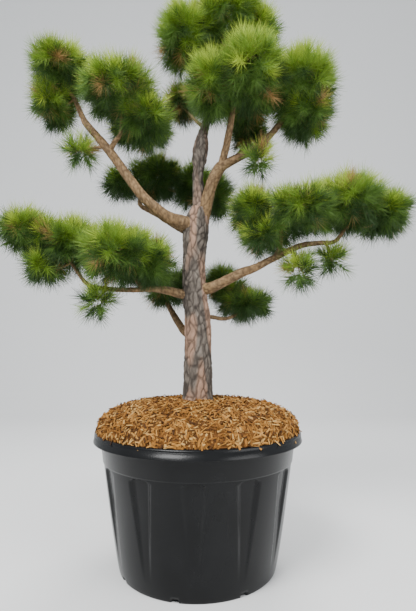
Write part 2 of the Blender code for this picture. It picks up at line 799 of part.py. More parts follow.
def fitted_spray(site, axis, mass, tubes, taken, chance):
    """Returns a spray's points at the turn that is clearest of the others, or nothing."""
    best, best_room = None, SPRAY_ROOM
    for _ in range(6):
        turn = chance.uniform(0.0, math.tau)
        lengths = [NEEDLE_LENGTH * chance.uniform(0.9, 1.15) for _ in range(NEEDLES)]
        while True:
            outline, front, back = spray_points(site, axis, turn, lengths)
            tips = outline[1::2]
            outside = [needle for needle, tip in enumerate(tips)
                       if not (is_own_space(tip, mass, SPACE_MARGIN)
                               and is_own_space(site.lerp(tip, 0.5), mass, SPACE_MARGIN)
                               and limb_distance(tip, tubes) > LIMB_CLEARANCE
                               and limb_distance(site.lerp(tip, 0.5), tubes) > LIMB_CLEARANCE)]
            if not outside or min(lengths) < NEEDLE_LENGTH * NOTCH_SHARE * 1.3:
                break
            for needle in outside:
                lengths[needle] *= 0.88
        samples = [site.lerp(tip, share) for tip in tips for share in (0.4, 0.7, 1.0)]
        room = min((sample - other).length for sample in samples for other in taken) \
            if taken else 1.0
        if not outside and room > best_room:
            best, best_room = (outline, front, back, samples), room
    return best


def tube_mesh(centres, radii):
    """Returns a three-sided twig along a chain of points."""
    side = (centres[1] - centres[0]).orthogonal()
    rings = []
    for index, (centre, radius) in enumerate(zip(centres, radii)):
        before, after = centres[max(index - 1, 0)], centres[min(index + 1, len(centres) - 1)]
        along = (after - before).normalized()
        side = (side - along * side.dot(along)).normalized()
        other = along.cross(side)
        rings.append([centre + (side * math.cos(turn) + other * math.sin(turn)) * radius
                      for turn in (0.0, math.tau / 3.0, 2.0 * math.tau / 3.0)])
    count = len(rings)
    faces = [(0, 2, 1), (3 * count - 3, 3 * count - 2, 3 * count - 1)]
    for row in range(count - 1):
        for column in range(3):
            low, high, after = 3 * row, 3 * row + 3, (column + 1) % 3
            faces.append((low + column, low + after, high + after, high + column))
    return mesh_from("twig", [point for ring in rings for point in ring], faces)


def core_mesh(lobe, mass):
    """Returns a lumpy core for one lobe, drawn in where it would leave the mass's space."""
    middle, half = Vector(lobe[:3]), Vector(lobe[3:])
    shape = bmesh.new()
    bmesh.ops.create_icosphere(shape, subdivisions=2, radius=1.0)
    for corner in shape.verts:
        unit = corner.co.normalized()
        share = core_share(unit, middle)
        place = middle + unit * half * share
        while share > 0.15 and not is_own_space(place, mass, 2.0 * SPACE_MARGIN):
            share *= 0.92
            place = middle + unit * half * share
        corner.co = place
    mesh = bpy.data.meshes.new("core")
    shape.to_mesh(mesh)
    shape.free()
    return mesh


def mass_pieces(mass, stem, tubes):
    """Returns the meshes of a mass's cores, twigs and sprays."""
    chance = random.Random(mass.seed)
    pieces = [core_mesh(lobe, mass) for lobe in mass.lobes] if mass.cored else []
    sprays = []
    tips = []
    taken = []
    for site, axis in spray_sites(mass, chance):
        spray = fitted_spray(site, axis, mass, tubes, taken, chance)
        if spray is not None:
            outline, front, back, samples = spray
            sprays.append(spray_mesh(outline, front, back))
            taken += samples
            tips.append(site - axis * ROOT_DEPTH * 0.7)
    hubs = [Vector(lobe[:3]) - Vector((0.0, 0.0, HUB_DROP * lobe[5])) for lobe in mass.lobes]
    points, parents, chains = grow_twigs(stem, hubs, tips)
    radii = twig_radii(parents, chains[len(hubs):])
    inner = CORE_SHARE * (1.0 - CORE_LUMP) - 0.05
    for chain in chains:
        hidden = mass.cored and all(reach(points[index], mass.lobes) < inner for index in chain)
        if not hidden:
            pieces.append(tube_mesh([points[index] for index in chain],
                                    [min(radii[index], radii[chain[1]]) for index in chain]))
    return pieces + sprays


def make_mass(mass, samples, made, tubes, finish):
    """Makes one mass as a single body, cut clear of the limbs that it grows on."""
    pieces = mass_pieces(mass, samples[mass.limb][-1][0], tubes)
    helpers = helper_collection("pieces")
    body = add_object(mass.name, pieces[0], finish)
    for piece in pieces[1:]:
        add_object("piece", piece, None, helpers)
    combine(body, "UNION", "MANIFOLD", helpers)
    cutters = helper_collection("cutters")
    for name, limb in made.items():
        close = min((centre - Vector(lobe[:3])).length - max(lobe[3:])
                    for centre, _ in samples[name] for lobe in mass.lobes)
        if close < 0.02:
            add_object("cutter", swollen_copy(limb.data, GAP * 1.1), None, cutters)
    combine(body, "DIFFERENCE", "MANIFOLD", cutters)
    keep_largest_body(body.data)
    body.data.name = mass.name


def make_foliage(samples, made, finish):
    """Makes every mass of foliage on its limb."""
    tubes = []
    for path in samples.values():
        for (start, first), (end, last) in zip(path, path[1:]):
            for share in (0.0, 0.25, 0.5, 0.75):
                tubes.append((*start.lerp(end, share), first + (last - first) * share))
    tubes = np.array(tubes)
    for mass in MASSES:
        make_mass(mass, samples, made, tubes, finish)


def main():
    """Makes the whole tree in its pot."""
    clear_scene()
    finishes = {
        "pot_plastic": material("pot_plastic", (0.012, 0.013, 0.014), 0.35),
        "mulch": material("mulch", (0.25, 0.13, 0.04), 0.9),
        "soil": material("soil", (0.06, 0.04, 0.03), 0.95),
        "trunk_bark": material("trunk_bark", (0.19, 0.15, 0.13), 0.9),
        "bough_bark": material("bough_bark", (0.34, 0.22, 0.11), 0.85),
        "needles": material("needles", (0.07, 0.17, 0.03), 0.6),
    }
    make_pot(finishes["pot_plastic"])
    make_root_ball(finishes["soil"])
    make_mulch(finishes["mulch"])
    samples, made = make_limbs(finishes)
    make_foliage(samples, made, finishes["needles"])


main()
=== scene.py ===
"""Looks of a cloud-pruned pine: bark, boughs, twigs, needles, mulch and tub."""

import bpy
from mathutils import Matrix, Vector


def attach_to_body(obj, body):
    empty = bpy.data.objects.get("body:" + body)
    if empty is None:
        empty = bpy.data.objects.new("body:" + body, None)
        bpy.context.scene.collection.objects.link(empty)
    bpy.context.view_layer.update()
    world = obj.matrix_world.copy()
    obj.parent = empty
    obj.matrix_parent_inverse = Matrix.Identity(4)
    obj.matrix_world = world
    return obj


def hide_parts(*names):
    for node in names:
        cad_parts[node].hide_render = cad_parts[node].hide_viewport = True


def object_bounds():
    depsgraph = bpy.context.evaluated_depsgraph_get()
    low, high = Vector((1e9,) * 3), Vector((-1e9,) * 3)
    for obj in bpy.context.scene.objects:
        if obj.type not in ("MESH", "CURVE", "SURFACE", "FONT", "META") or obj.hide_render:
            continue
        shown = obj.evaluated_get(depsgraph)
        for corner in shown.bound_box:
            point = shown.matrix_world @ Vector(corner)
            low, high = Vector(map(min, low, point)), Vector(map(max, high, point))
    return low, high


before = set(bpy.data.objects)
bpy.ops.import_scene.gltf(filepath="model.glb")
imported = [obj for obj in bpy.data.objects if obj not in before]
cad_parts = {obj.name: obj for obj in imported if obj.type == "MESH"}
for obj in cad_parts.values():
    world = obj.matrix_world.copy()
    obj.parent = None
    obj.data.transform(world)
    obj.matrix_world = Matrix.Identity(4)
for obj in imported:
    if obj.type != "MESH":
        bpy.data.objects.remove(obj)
FRAME_BOX = [list(corner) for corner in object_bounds()]

import logging
import math
import random
from collections import defaultdict, namedtuple
from collections.abc import Iterable, Sequence
from dataclasses import dataclass
from enum import Enum

import bpy
import numpy as np
from mathutils import Vector, noise

Colour = tuple[float, float, float]
Place = tuple[float, float, float]
Socket = bpy.types.NodeSocket

LOG = logging.getLogger("pine")
NOISE_SEED = 7
FIRST_MASS_SEED = 11
GOLDEN_ANGLE = math.pi * (3.0 - math.sqrt(5.0))
MATT = 0.9
DULL = 0.2
NEEDLE_ROUGHNESS = 0.55
NEEDLE_SPECULAR = 0.35
TWIG_FLAKE = 0.35

# A limb's path holds points (x, y, z, radius) from its root, inside the limb that bears it
Limb = namedtuple("Limb", "name path")
# A lobe is (x, y, z, half width, half depth, half height) of the outline that the needles fill
Mass = namedtuple("Mass", "name limb lobes")

LIMBS = [
    Limb("trunk", [
        (-0.003, 0.0, 0.5483, 0.052), (-0.001, 0.0, 0.733, 0.0507), (-0.004, 0.0, 0.841, 0.0483),
        (-0.016, 0.0, 0.955, 0.044), (-0.015, 0.0, 1.071, 0.0425), (-0.011, 0.0, 1.15, 0.048),
        (-0.002, 0.0, 1.215, 0.043), (0.005, 0.0, 1.25, 0.033),
    ]),
    Limb("leader", [
        (0.004, 0.0, 1.2, 0.027), (-0.003, 0.0, 1.361, 0.0207), (0.0, 0.0, 1.415, 0.023),
        (0.003, 0.002, 1.445, 0.03), (0.009, 0.006, 1.5, 0.0285), (0.014, 0.012, 1.54, 0.0215),
        (0.031, 0.02, 1.605, 0.0155), (0.059, 0.03, 1.706, 0.013), (0.088, 0.03, 1.885, 0.0095),
    ]),
    Limb("upper_right_bough", [
        (0.012, 0.0, 1.2, 0.027), (0.042, -0.02, 1.315, 0.0222), (0.055, -0.03, 1.349, 0.0221),
        (0.082, -0.045, 1.393, 0.0215), (0.122, -0.055, 1.409, 0.0146), (0.191, -0.065, 1.444, 0.013),
        (0.231, -0.07, 1.468, 0.0127), (0.293, -0.05, 1.547, 0.0111), (0.335, -0.045, 1.61, 0.008),
    ]),
    Limb("upper_right_fork", [
        (0.082, -0.046, 1.392, 0.0145), (0.102, -0.07, 1.464, 0.0136), (0.119, -0.09, 1.549, 0.0115),
        (0.13, -0.1, 1.61, 0.008),
    ]),
    Limb("upper_right_back_fork", [
        (0.09, -0.045, 1.398, 0.0105), (0.115, 0.0, 1.44, 0.0093), (0.15, 0.05, 1.48, 0.0087),
        (0.195, 0.12, 1.56, 0.0065),
    ]),
    Limb("upper_left_bough", [
        (-0.012, 0.0, 1.175, 0.029), (-0.053, -0.02, 1.19, 0.0262), (-0.103, -0.04, 1.201, 0.0236),
        (-0.138, -0.05, 1.222, 0.0217), (-0.21, -0.06, 1.289, 0.0185), (-0.324, -0.05, 1.447, 0.0166),
        (-0.417, -0.015, 1.565, 0.0132), (-0.441, 0.0, 1.605, 0.0114), (-0.48, 0.015, 1.69, 0.008),
    ]),
    Limb("upper_left_fork", [
        (-0.326, -0.05, 1.449, 0.011), (-0.308, -0.06, 1.477, 0.0095), (-0.28, -0.078, 1.51, 0.0075),
        (-0.274, -0.095, 1.59, 0.0055),
    ]),
    Limb("upper_back_bough", [
        (0.024, 0.014, 1.57, 0.0085), (-0.012, 0.06, 1.625, 0.0066), (-0.052, 0.118, 1.7, 0.0052),
    ]),
    Limb("middle_back_bough", [
        (-0.015, 0.005, 1.15, 0.016), (-0.08, 0.06, 1.196, 0.0142), (-0.157, 0.12, 1.259, 0.012),
        (-0.203, 0.16, 1.292, 0.0104), (-0.25, 0.2, 1.334, 0.0095), (-0.245, 0.24, 1.41, 0.0065),
    ]),
    Limb("right_bough", [
        (-0.01, 0.0, 0.945, 0.024), (0.028, -0.01, 0.947, 0.0222), (0.06, -0.02, 0.956, 0.02),
        (0.132, -0.035, 0.99, 0.0175), (0.161, -0.04, 1.004, 0.0175), (0.203, -0.05, 1.017, 0.0143),
        (0.262, -0.06, 1.047, 0.0124), (0.36, -0.075, 1.091, 0.0106), (0.43, -0.07, 1.103, 0.0089),
        (0.488, -0.06, 1.112, 0.008), (0.535, -0.052, 1.17, 0.0062),
    ]),
    Limb("right_fork", [
        (0.27, -0.062, 1.05, 0.0095), (0.29, -0.066, 1.09, 0.0085), (0.296, -0.07, 1.16, 0.0065),
    ]),
    Limb("left_bough", [
        (-0.014, 0.0, 0.925, 0.02), (-0.06, -0.01, 0.928, 0.0176), (-0.12, -0.03, 0.94, 0.0144),
        (-0.172, -0.04, 0.943, 0.0112), (-0.242, -0.05, 0.938, 0.0096), (-0.351, -0.04, 0.946, 0.0086),
        (-0.408, -0.025, 0.969, 0.0078), (-0.466, -0.005, 1.045, 0.0062),
    ]),
    Limb("left_fork", [
        (-0.195, -0.044, 0.94, 0.0085), (-0.215, -0.056, 0.966, 0.0078), (-0.235, -0.066, 1.01, 0.0062),
    ]),
    Limb("low_left_bough", [
        (-0.005, 0.0, 0.76, 0.0165), (-0.05, 0.03, 0.792, 0.015), (-0.071, 0.06, 0.819, 0.0138),
        (-0.093, 0.1, 0.852, 0.0135), (-0.116, 0.14, 0.891, 0.0109), (-0.137, 0.172, 0.932, 0.008),
    ]),
    Limb("low_right_bough", [
        (0.0, 0.005, 0.842, 0.01), (0.046, 0.05, 0.849, 0.0085), (0.101, 0.12, 0.846, 0.0075),
        (0.156, 0.185, 0.872, 0.0065), (0.175, 0.208, 0.9, 0.0055),
    ]),
    Limb("upper_right_spur", [
        (0.186, -0.064, 1.441, 0.0055), (0.203, -0.074, 1.425, 0.0045), (0.212, -0.08, 1.41, 0.0035),
    ]),
    Limb("upper_left_spur", [
        (-0.335, -0.046, 1.462, 0.006), (-0.375, -0.04, 1.47, 0.005), (-0.418, -0.03, 1.466, 0.0036),
    ]),
    Limb("left_spur", [
        (-0.325, -0.043, 0.943, 0.006), (-0.34, -0.052, 0.925, 0.0048), (-0.35, -0.058, 0.907, 0.0036),
    ]),
    Limb("right_spur", [
        (0.325, -0.07, 1.076, 0.006), (0.342, -0.082, 1.05, 0.0048), (0.35, -0.088, 1.015, 0.0036),
    ]),
    Limb("right_outer_spur", [
        (0.446, -0.068, 1.104, 0.0055), (0.462, -0.07, 1.085, 0.0045), (0.47, -0.07, 1.062, 0.0035),
    ]),
]

MASSES = [
    Mass("top_cloud", "leader", [
        (-0.046, 0.0, 1.918, 0.13, 0.159, 0.128), (0.113, 0.02, 1.986, 0.166, 0.189, 0.111),
        (0.222, 0.03, 1.94, 0.107, 0.152, 0.118),
    ]),
    Mass("upper_right_cloud", "upper_right_fork", [
        (0.053, -0.12, 1.652, 0.11, 0.14, 0.121), (0.183, -0.14, 1.687, 0.134, 0.165, 0.134),
        (0.179, 0.02, 1.653, 0.097, 0.122, 0.085),
    ]),
    Mass("upper_right_tip_cloud", "upper_right_bough", [
        (0.377, -0.05, 1.687, 0.141, 0.183, 0.138), (0.395, -0.04, 1.583, 0.111, 0.146, 0.089),
    ]),
    Mass("upper_right_back_cloud", "upper_right_back_fork", [
        (0.209, 0.16, 1.612, 0.085, 0.104, 0.072),
    ]),
    Mass("upper_left_tip_cloud", "upper_left_bough", [
        (-0.527, 0.0, 1.79, 0.123, 0.159, 0.1), (-0.571, 0.05, 1.678, 0.095, 0.134, 0.087),
    ]),
    Mass("upper_left_cloud", "upper_left_fork", [
        (-0.289, -0.1, 1.649, 0.144, 0.165, 0.101), (-0.189, -0.06, 1.557, 0.103, 0.134, 0.088),
        (-0.232, 0.05, 1.575, 0.118, 0.122, 0.07),
    ]),
    Mass("upper_back_cloud", "upper_back_bough", [
        (-0.073, 0.15, 1.738, 0.078, 0.104, 0.067),
    ]),
    Mass("middle_back_cloud", "middle_back_bough", [
        (-0.174, 0.26, 1.462, 0.139, 0.146, 0.105), (-0.335, 0.24, 1.432, 0.077, 0.104, 0.065),
        (-0.045, 0.3, 1.445, 0.111, 0.134, 0.098), (0.078, 0.27, 1.39, 0.066, 0.098, 0.096),
    ]),
    Mass("left_tip_cloud", "left_bough", [
        (-0.637, 0.0, 1.161, 0.108, 0.134, 0.089), (-0.475, 0.02, 1.117, 0.127, 0.159, 0.105),
        (-0.565, 0.0, 1.03, 0.074, 0.098, 0.06),
    ]),
    Mass("left_cloud", "left_fork", [
        (-0.274, -0.08, 1.058, 0.147, 0.165, 0.119), (-0.166, -0.04, 1.03, 0.093, 0.14, 0.101),
    ]),
    Mass("right_cloud", "right_fork", [
        (0.201, -0.02, 1.231, 0.103, 0.134, 0.088), (0.241, -0.04, 1.129, 0.08, 0.11, 0.058),
        (0.357, -0.1, 1.206, 0.133, 0.159, 0.098),
    ]),
    Mass("right_tip_cloud", "right_bough", [
        (0.531, -0.05, 1.248, 0.145, 0.171, 0.116), (0.679, -0.02, 1.22, 0.11, 0.14, 0.096),
    ]),
    Mass("low_right_cloud", "low_right_bough", [
        (0.093, 0.22, 0.994, 0.083, 0.104, 0.083), (0.188, 0.22, 0.911, 0.116, 0.122, 0.075),
    ]),
    Mass("low_left_cloud", "low_left_bough", [
        (-0.141, 0.19, 0.969, 0.082, 0.104, 0.074), (-0.042, 0.25, 1.002, 0.077, 0.098, 0.077),
    ]),
    Mass("upper_right_tuft", "upper_right_spur", [
        (0.216, -0.082, 1.402, 0.055, 0.05, 0.058),
    ]),
    Mass("upper_left_tuft", "upper_left_spur", [
        (-0.439, -0.025, 1.457, 0.07, 0.06, 0.062),
    ]),
    Mass("left_tuft", "left_spur", [
        (-0.355, -0.062, 0.892, 0.066, 0.058, 0.064),
    ]),
    Mass("right_tuft", "right_spur", [
        (0.352, -0.09, 1.0, 0.07, 0.06, 0.072),
    ]),
    Mass("right_outer_tuft", "right_outer_spur", [
        (0.475, -0.07, 1.042, 0.045, 0.045, 0.048),
    ]),
]


class Slot(Enum):
    """The record's material slots."""

    POT = "pot_plastic"
    SOIL = "soil"
    MULCH = "mulch"
    TRUNK = "trunk_bark"
    BOUGH = "bough_bark"
    NEEDLES = "needles"


class Tint(Enum):
    """The plain base colours that needles are dealt, spray by spray: all but the tan are one green in
    painted light and shade, from sunlit down to shaded, the lightest also with the yellow of new growth;
    the tan is dead needles.
    """

    SUNLIT = (0.400, 0.520, 0.055)
    FRESH = (0.185, 0.305, 0.030)
    MIDDLE = (0.080, 0.160, 0.021)
    SHADED = (0.030, 0.070, 0.013)
    TAN = (0.380, 0.230, 0.080)


class Tier(Enum):
    """The parts of the crown that pieces are made for, by the height where each starts."""

    UPPER = 1.30
    LOWER = 0.0


# Finishes

class Nodes:
    """Adds and links the nodes of one material."""

    def __init__(self, name: str) -> None:
        """Starts an empty material.

        Args:
            name: The material's name.
        """
        self.material = bpy.data.materials.new(name)
        self.material.use_nodes = True
        self.tree = self.material.node_tree
        self.shader = self.tree.nodes["Principled BSDF"]
        self.coordinates = self.tree.nodes.new("ShaderNodeTexCoord").outputs["Object"]

    def surface(self, roughness: float, specular: float) -> None:
        """Sets how rough and how shiny the surface is."""
        self.shader.inputs["Roughness"].default_value = roughness
        self.shader.inputs["Specular IOR Level"].default_value = specular

    def link(self, source: Socket, target: Socket) -> None:
        """Links an output to an input."""
        self.tree.links.new(source, target)

    def attribute(self, name: str) -> Socket:
        """Reads a number stored on the mesh.

        Args:
            name: The attribute's name.

        Returns:
            The output that holds it.
        """
        node = self.tree.nodes.new("ShaderNodeAttribute")
        node.attribute_name = name
        return node.outputs["Fac"]

    def noise(self, scale: float, height: float = 1.0, detail: float = 4.0) -> Socket:
        """Adds a noise over the object's coordinates.

        Args:
            scale: Waves to the metre.
            height: The scale upwards, as a share of the scale.
            detail: Octaves.

        Returns:
            The noise's output.
        """
        mapping = self.tree.nodes.new("ShaderNodeMapping")
        mapping.inputs["Scale"].default_value = (1.0, 1.0, height)
        self.link(self.coordinates, mapping.inputs["Vector"])
        node = self.tree.nodes.new("ShaderNodeTexNoise")
        node.inputs["Scale"].default_value = scale
        node.inputs["Detail"].default_value = detail
        self.link(mapping.outputs["Vector"], node.inputs["Vector"])
        return node.outputs["Fac"]

    def ramp(self, value: Socket, stops: Sequence[tuple[float, Colour]]) -> Socket:
        """Maps a number to colours.

        Args:
            value: The number.
            stops: Pairs of position and colour.

        Returns:
            The colour's output.
        """
        node = self.tree.nodes.new("ShaderNodeValToRGB")
        elements = node.color_ramp.elements
        while len(elements) < len(stops):
            elements.new(0.5)
        for element, (position, colour) in zip(elements, stops):
            element.position = position
            element.color = (*colour, 1.0)
        self.link(value, node.inputs["Fac"])
        return node.outputs["Color"]

    def mix(self, share: Socket, first: Socket, second: Socket) -> Socket:
        """Mixes two colours.

        Args:
            share: How much of the second.
            first: The first colour.
            second: The second colour.

        Returns:
            The mixed colour's output.
        """
        node = self.tree.nodes.new("ShaderNodeMix")
        node.data_type = "RGBA"
        self.link(share, node.inputs["Factor"])
        self.link(first, node.inputs["A"])
        self.link(second, node.inputs["B"])
        return node.outputs["Result"]

    def bump(self, height: Socket, depth: float) -> None:
        """Roughens the surface.

        Args:
            height: The relief.
            depth: Its depth in metres.
        """
        node = self.tree.nodes.new("ShaderNodeBump")
        node.inputs["Distance"].default_value = depth
        self.link(height, node.inputs["Height"])
        self.link(node.outputs["Normal"], self.shader.inputs["Normal"])

    def colour(self, colour: Socket) -> bpy.types.Material:
        """Gives the surface its colour, and returns the material."""
        self.link(colour, self.shader.inputs["Base Color"])
        return self.material


@dataclass(frozen=True)
class PlainFinish:
    """A finish of one plain colour."""

    name: str
    colour: Colour
    roughness: float
    specular: float = 0.5

    def build(self) -> bpy.types.Material:
        """Makes the material.

        Returns:
            The material.
        """
        nodes = Nodes(self.name)
        nodes.shader.inputs["Base Color"].default_value = (*self.colour, 1.0)
        nodes.surface(self.roughness, self.specular)
        return nodes.material


@dataclass(frozen=True)
class PlasticFinish:
    """Semi-gloss black plastic with a little dust."""

    name: str = "black_plastic"
    roughness: float = 0.24
    specular: float = 0.20
    clean: Colour = (0.0035, 0.0037, 0.0040)
    dusty: Colour = (0.0080, 0.0083, 0.0088)
    dust: float = 9.0
    grain: float = 260.0
    grain_depth: float = 0.0002

    def build(self) -> bpy.types.Material:
        """Makes the material.

        Returns:
            The material.
        """
        nodes = Nodes(self.name)
        nodes.surface(self.roughness, self.specular)
        nodes.bump(nodes.noise(self.grain), self.grain_depth)
        dust = nodes.noise(self.dust, height=0.6, detail=8.0)
        return nodes.colour(nodes.ramp(dust, ((0.35, self.clean), (0.75, self.dusty))))


@dataclass(frozen=True)
class BarkFinish:
    """Plated bark: dark in its fissures, with flaked patches of a warmer colour."""

    name: str
    fissure: Colour
    plate: Colour
    pale: Colour
    flaked: Colour
    grain: float = 140.0
    grain_depth: float = 0.0015
    flake_shade: float = 0.7

    def build(self) -> bpy.types.Material:
        """Makes the material, which reads the attributes plate and flake.

        Returns:
            The material.
        """
        nodes = Nodes(self.name)
        nodes.surface(MATT, DULL)
        fine = nodes.noise(self.grain, height=0.4, detail=6.0)
        nodes.bump(fine, self.grain_depth)
        plates = nodes.ramp(fine, ((0.35, self.plate), (0.70, self.pale)))
        shaded = tuple(self.flake_shade * channel for channel in self.flaked)
        flakes = nodes.ramp(fine, ((0.30, shaded), (0.65, self.flaked)))
        surface = nodes.mix(nodes.attribute("flake"), plates, flakes)
        dark = nodes.ramp(fine, ((0.0, self.fissure), (1.0, self.fissure)))
        return nodes.colour(nodes.mix(nodes.attribute("plate"), dark, surface))


@dataclass(frozen=True)
class MulchFinish:
    """Shredded bark in mixed browns, chosen chip by chip, with dark browns on the bed under the chips as
    painted shade between them.
    """

    name: str = "shredded_bark"
    grain: float = 400.0
    grain_depth: float = 0.0006
    browns: tuple[tuple[float, Colour], ...] = (
        (0.0, (0.040, 0.018, 0.008)),
        (0.3, (0.165, 0.066, 0.014)),
        (0.55, (0.300, 0.130, 0.026)),
        (0.8, (0.420, 0.205, 0.050)),
        (1.0, (0.520, 0.330, 0.120)),
    )

    def build(self) -> bpy.types.Material:
        """Makes the material, which reads the attribute shade.

        Returns:
            The material.
        """
        nodes = Nodes(self.name)
        nodes.surface(MATT, DULL)
        nodes.bump(nodes.noise(self.grain, detail=3.0), self.grain_depth)
        return nodes.colour(nodes.ramp(nodes.attribute("shade"), self.browns))


# Meshes

def mesh_object(name: str, points: np.ndarray, faces: np.ndarray,
                materials: Iterable[bpy.types.Material], smooth: bool = False) -> bpy.types.Object:
    """Makes an object from points and faces that all have the same number of corners.

    Args:
        name: The object's name.
        points: Positions, a row each.
        faces: Point numbers, a row each.
        materials: Materials of the object.
        smooth: Whether the shading is smooth.

    Returns:
        The new object, linked to the scene.
    """
    points = np.asarray(points, float)
    faces = np.asarray(faces, int)
    mesh = bpy.data.meshes.new(name)
    mesh.vertices.add(len(points))
    mesh.vertices.foreach_set("co", points.ravel())
    corners = faces.shape[1]
    mesh.loops.add(faces.size)
    mesh.loops.foreach_set("vertex_index", faces.ravel())
    mesh.polygons.add(len(faces))
    mesh.polygons.foreach_set("loop_start", np.arange(len(faces)) * corners)
    mesh.polygons.foreach_set("use_smooth", np.full(len(faces), smooth))
    mesh.update(calc_edges=True)
    mesh.validate()
    for material in materials:
        mesh.materials.append(material)
    made = bpy.data.objects.new(name, mesh)
    bpy.context.scene.collection.objects.link(made)
    return made


def number_attribute(target: bpy.types.Object, name: str, values: np.ndarray) -> None:
    """Stores a number at each point of an object."""
    target.data.attributes.new(name, "FLOAT", "POINT").data.foreach_set("value", values)


def grid_faces(rows: int, columns: int) -> np.ndarray:
    """Lists the quads of a grid of points that is closed around its columns.

    Args:
        rows: Number of rings.
        columns: Points in a ring.

    Returns:
        Quads, wound so that they face outward where rings go up.
    """
    row, column = np.meshgrid(np.arange(rows - 1), np.arange(columns), indexing="ij")
    after = (column + 1) % columns
    start = row * columns
    return np.stack([start + column, start + after, start + columns + after,
                     start + columns + column], axis=-1).reshape(-1, 4)


def halved(quads: np.ndarray) -> np.ndarray:
    """Splits quads into triangles, all the first halves and then the second ones."""
    return np.concatenate([quads[:, (0, 1, 2)], quads[:, (0, 2, 3)]])


def attach(piece: bpy.types.Object, nodes: Iterable[str]) -> None:
    """Hands a finished piece to the frame.

    Args:
        piece: The finished object.
        nodes: The solids that it stands for.
    """
    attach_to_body(piece, "root")
    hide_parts(*nodes)
    LOG.info("%s: %d faces", piece.name, len(piece.data.polygons))


# Tub

@dataclass(frozen=True)
class PotSizes:
    """Sizes of the fluted tub, in metres."""

    height: float = 0.451
    lip_radius: float = 0.361
    lip_depth: float = 0.033
    lip_width: float = 0.020
    band_top: float = 0.336
    band_foot_radius: float = 0.328
    band_foot: float = 0.354
    neck: float = 0.325
    foot: float = 0.266
    wall: float = 0.003
    taper_power: float = 0.85
    flutes: int = 12
    flute_depth: float = 0.009
    flute_half_angle: float = math.radians(8.0)
    flute_foot: float = 0.045
    flute_turn: float = math.radians(-1.0)
    drains: int = 8
    drain_width: float = 0.023
    drain_height: float = 0.011
    drain_depth: float = 0.009
    drain_turn: float = math.radians(-58.0)
    arch_rise: float = 0.016
    arch_gap: float = 0.004
    flute_edge: float = 0.42
    flute_narrowing: float = 0.35
    flute_onset: float = 1.6
    wall_step: float = 0.012
    arch_step: float = 0.0012
    lip_round: float = 0.010
    lip_ridge: float = 0.0024
    filling_top: float = 0.395
    sides: int = 480


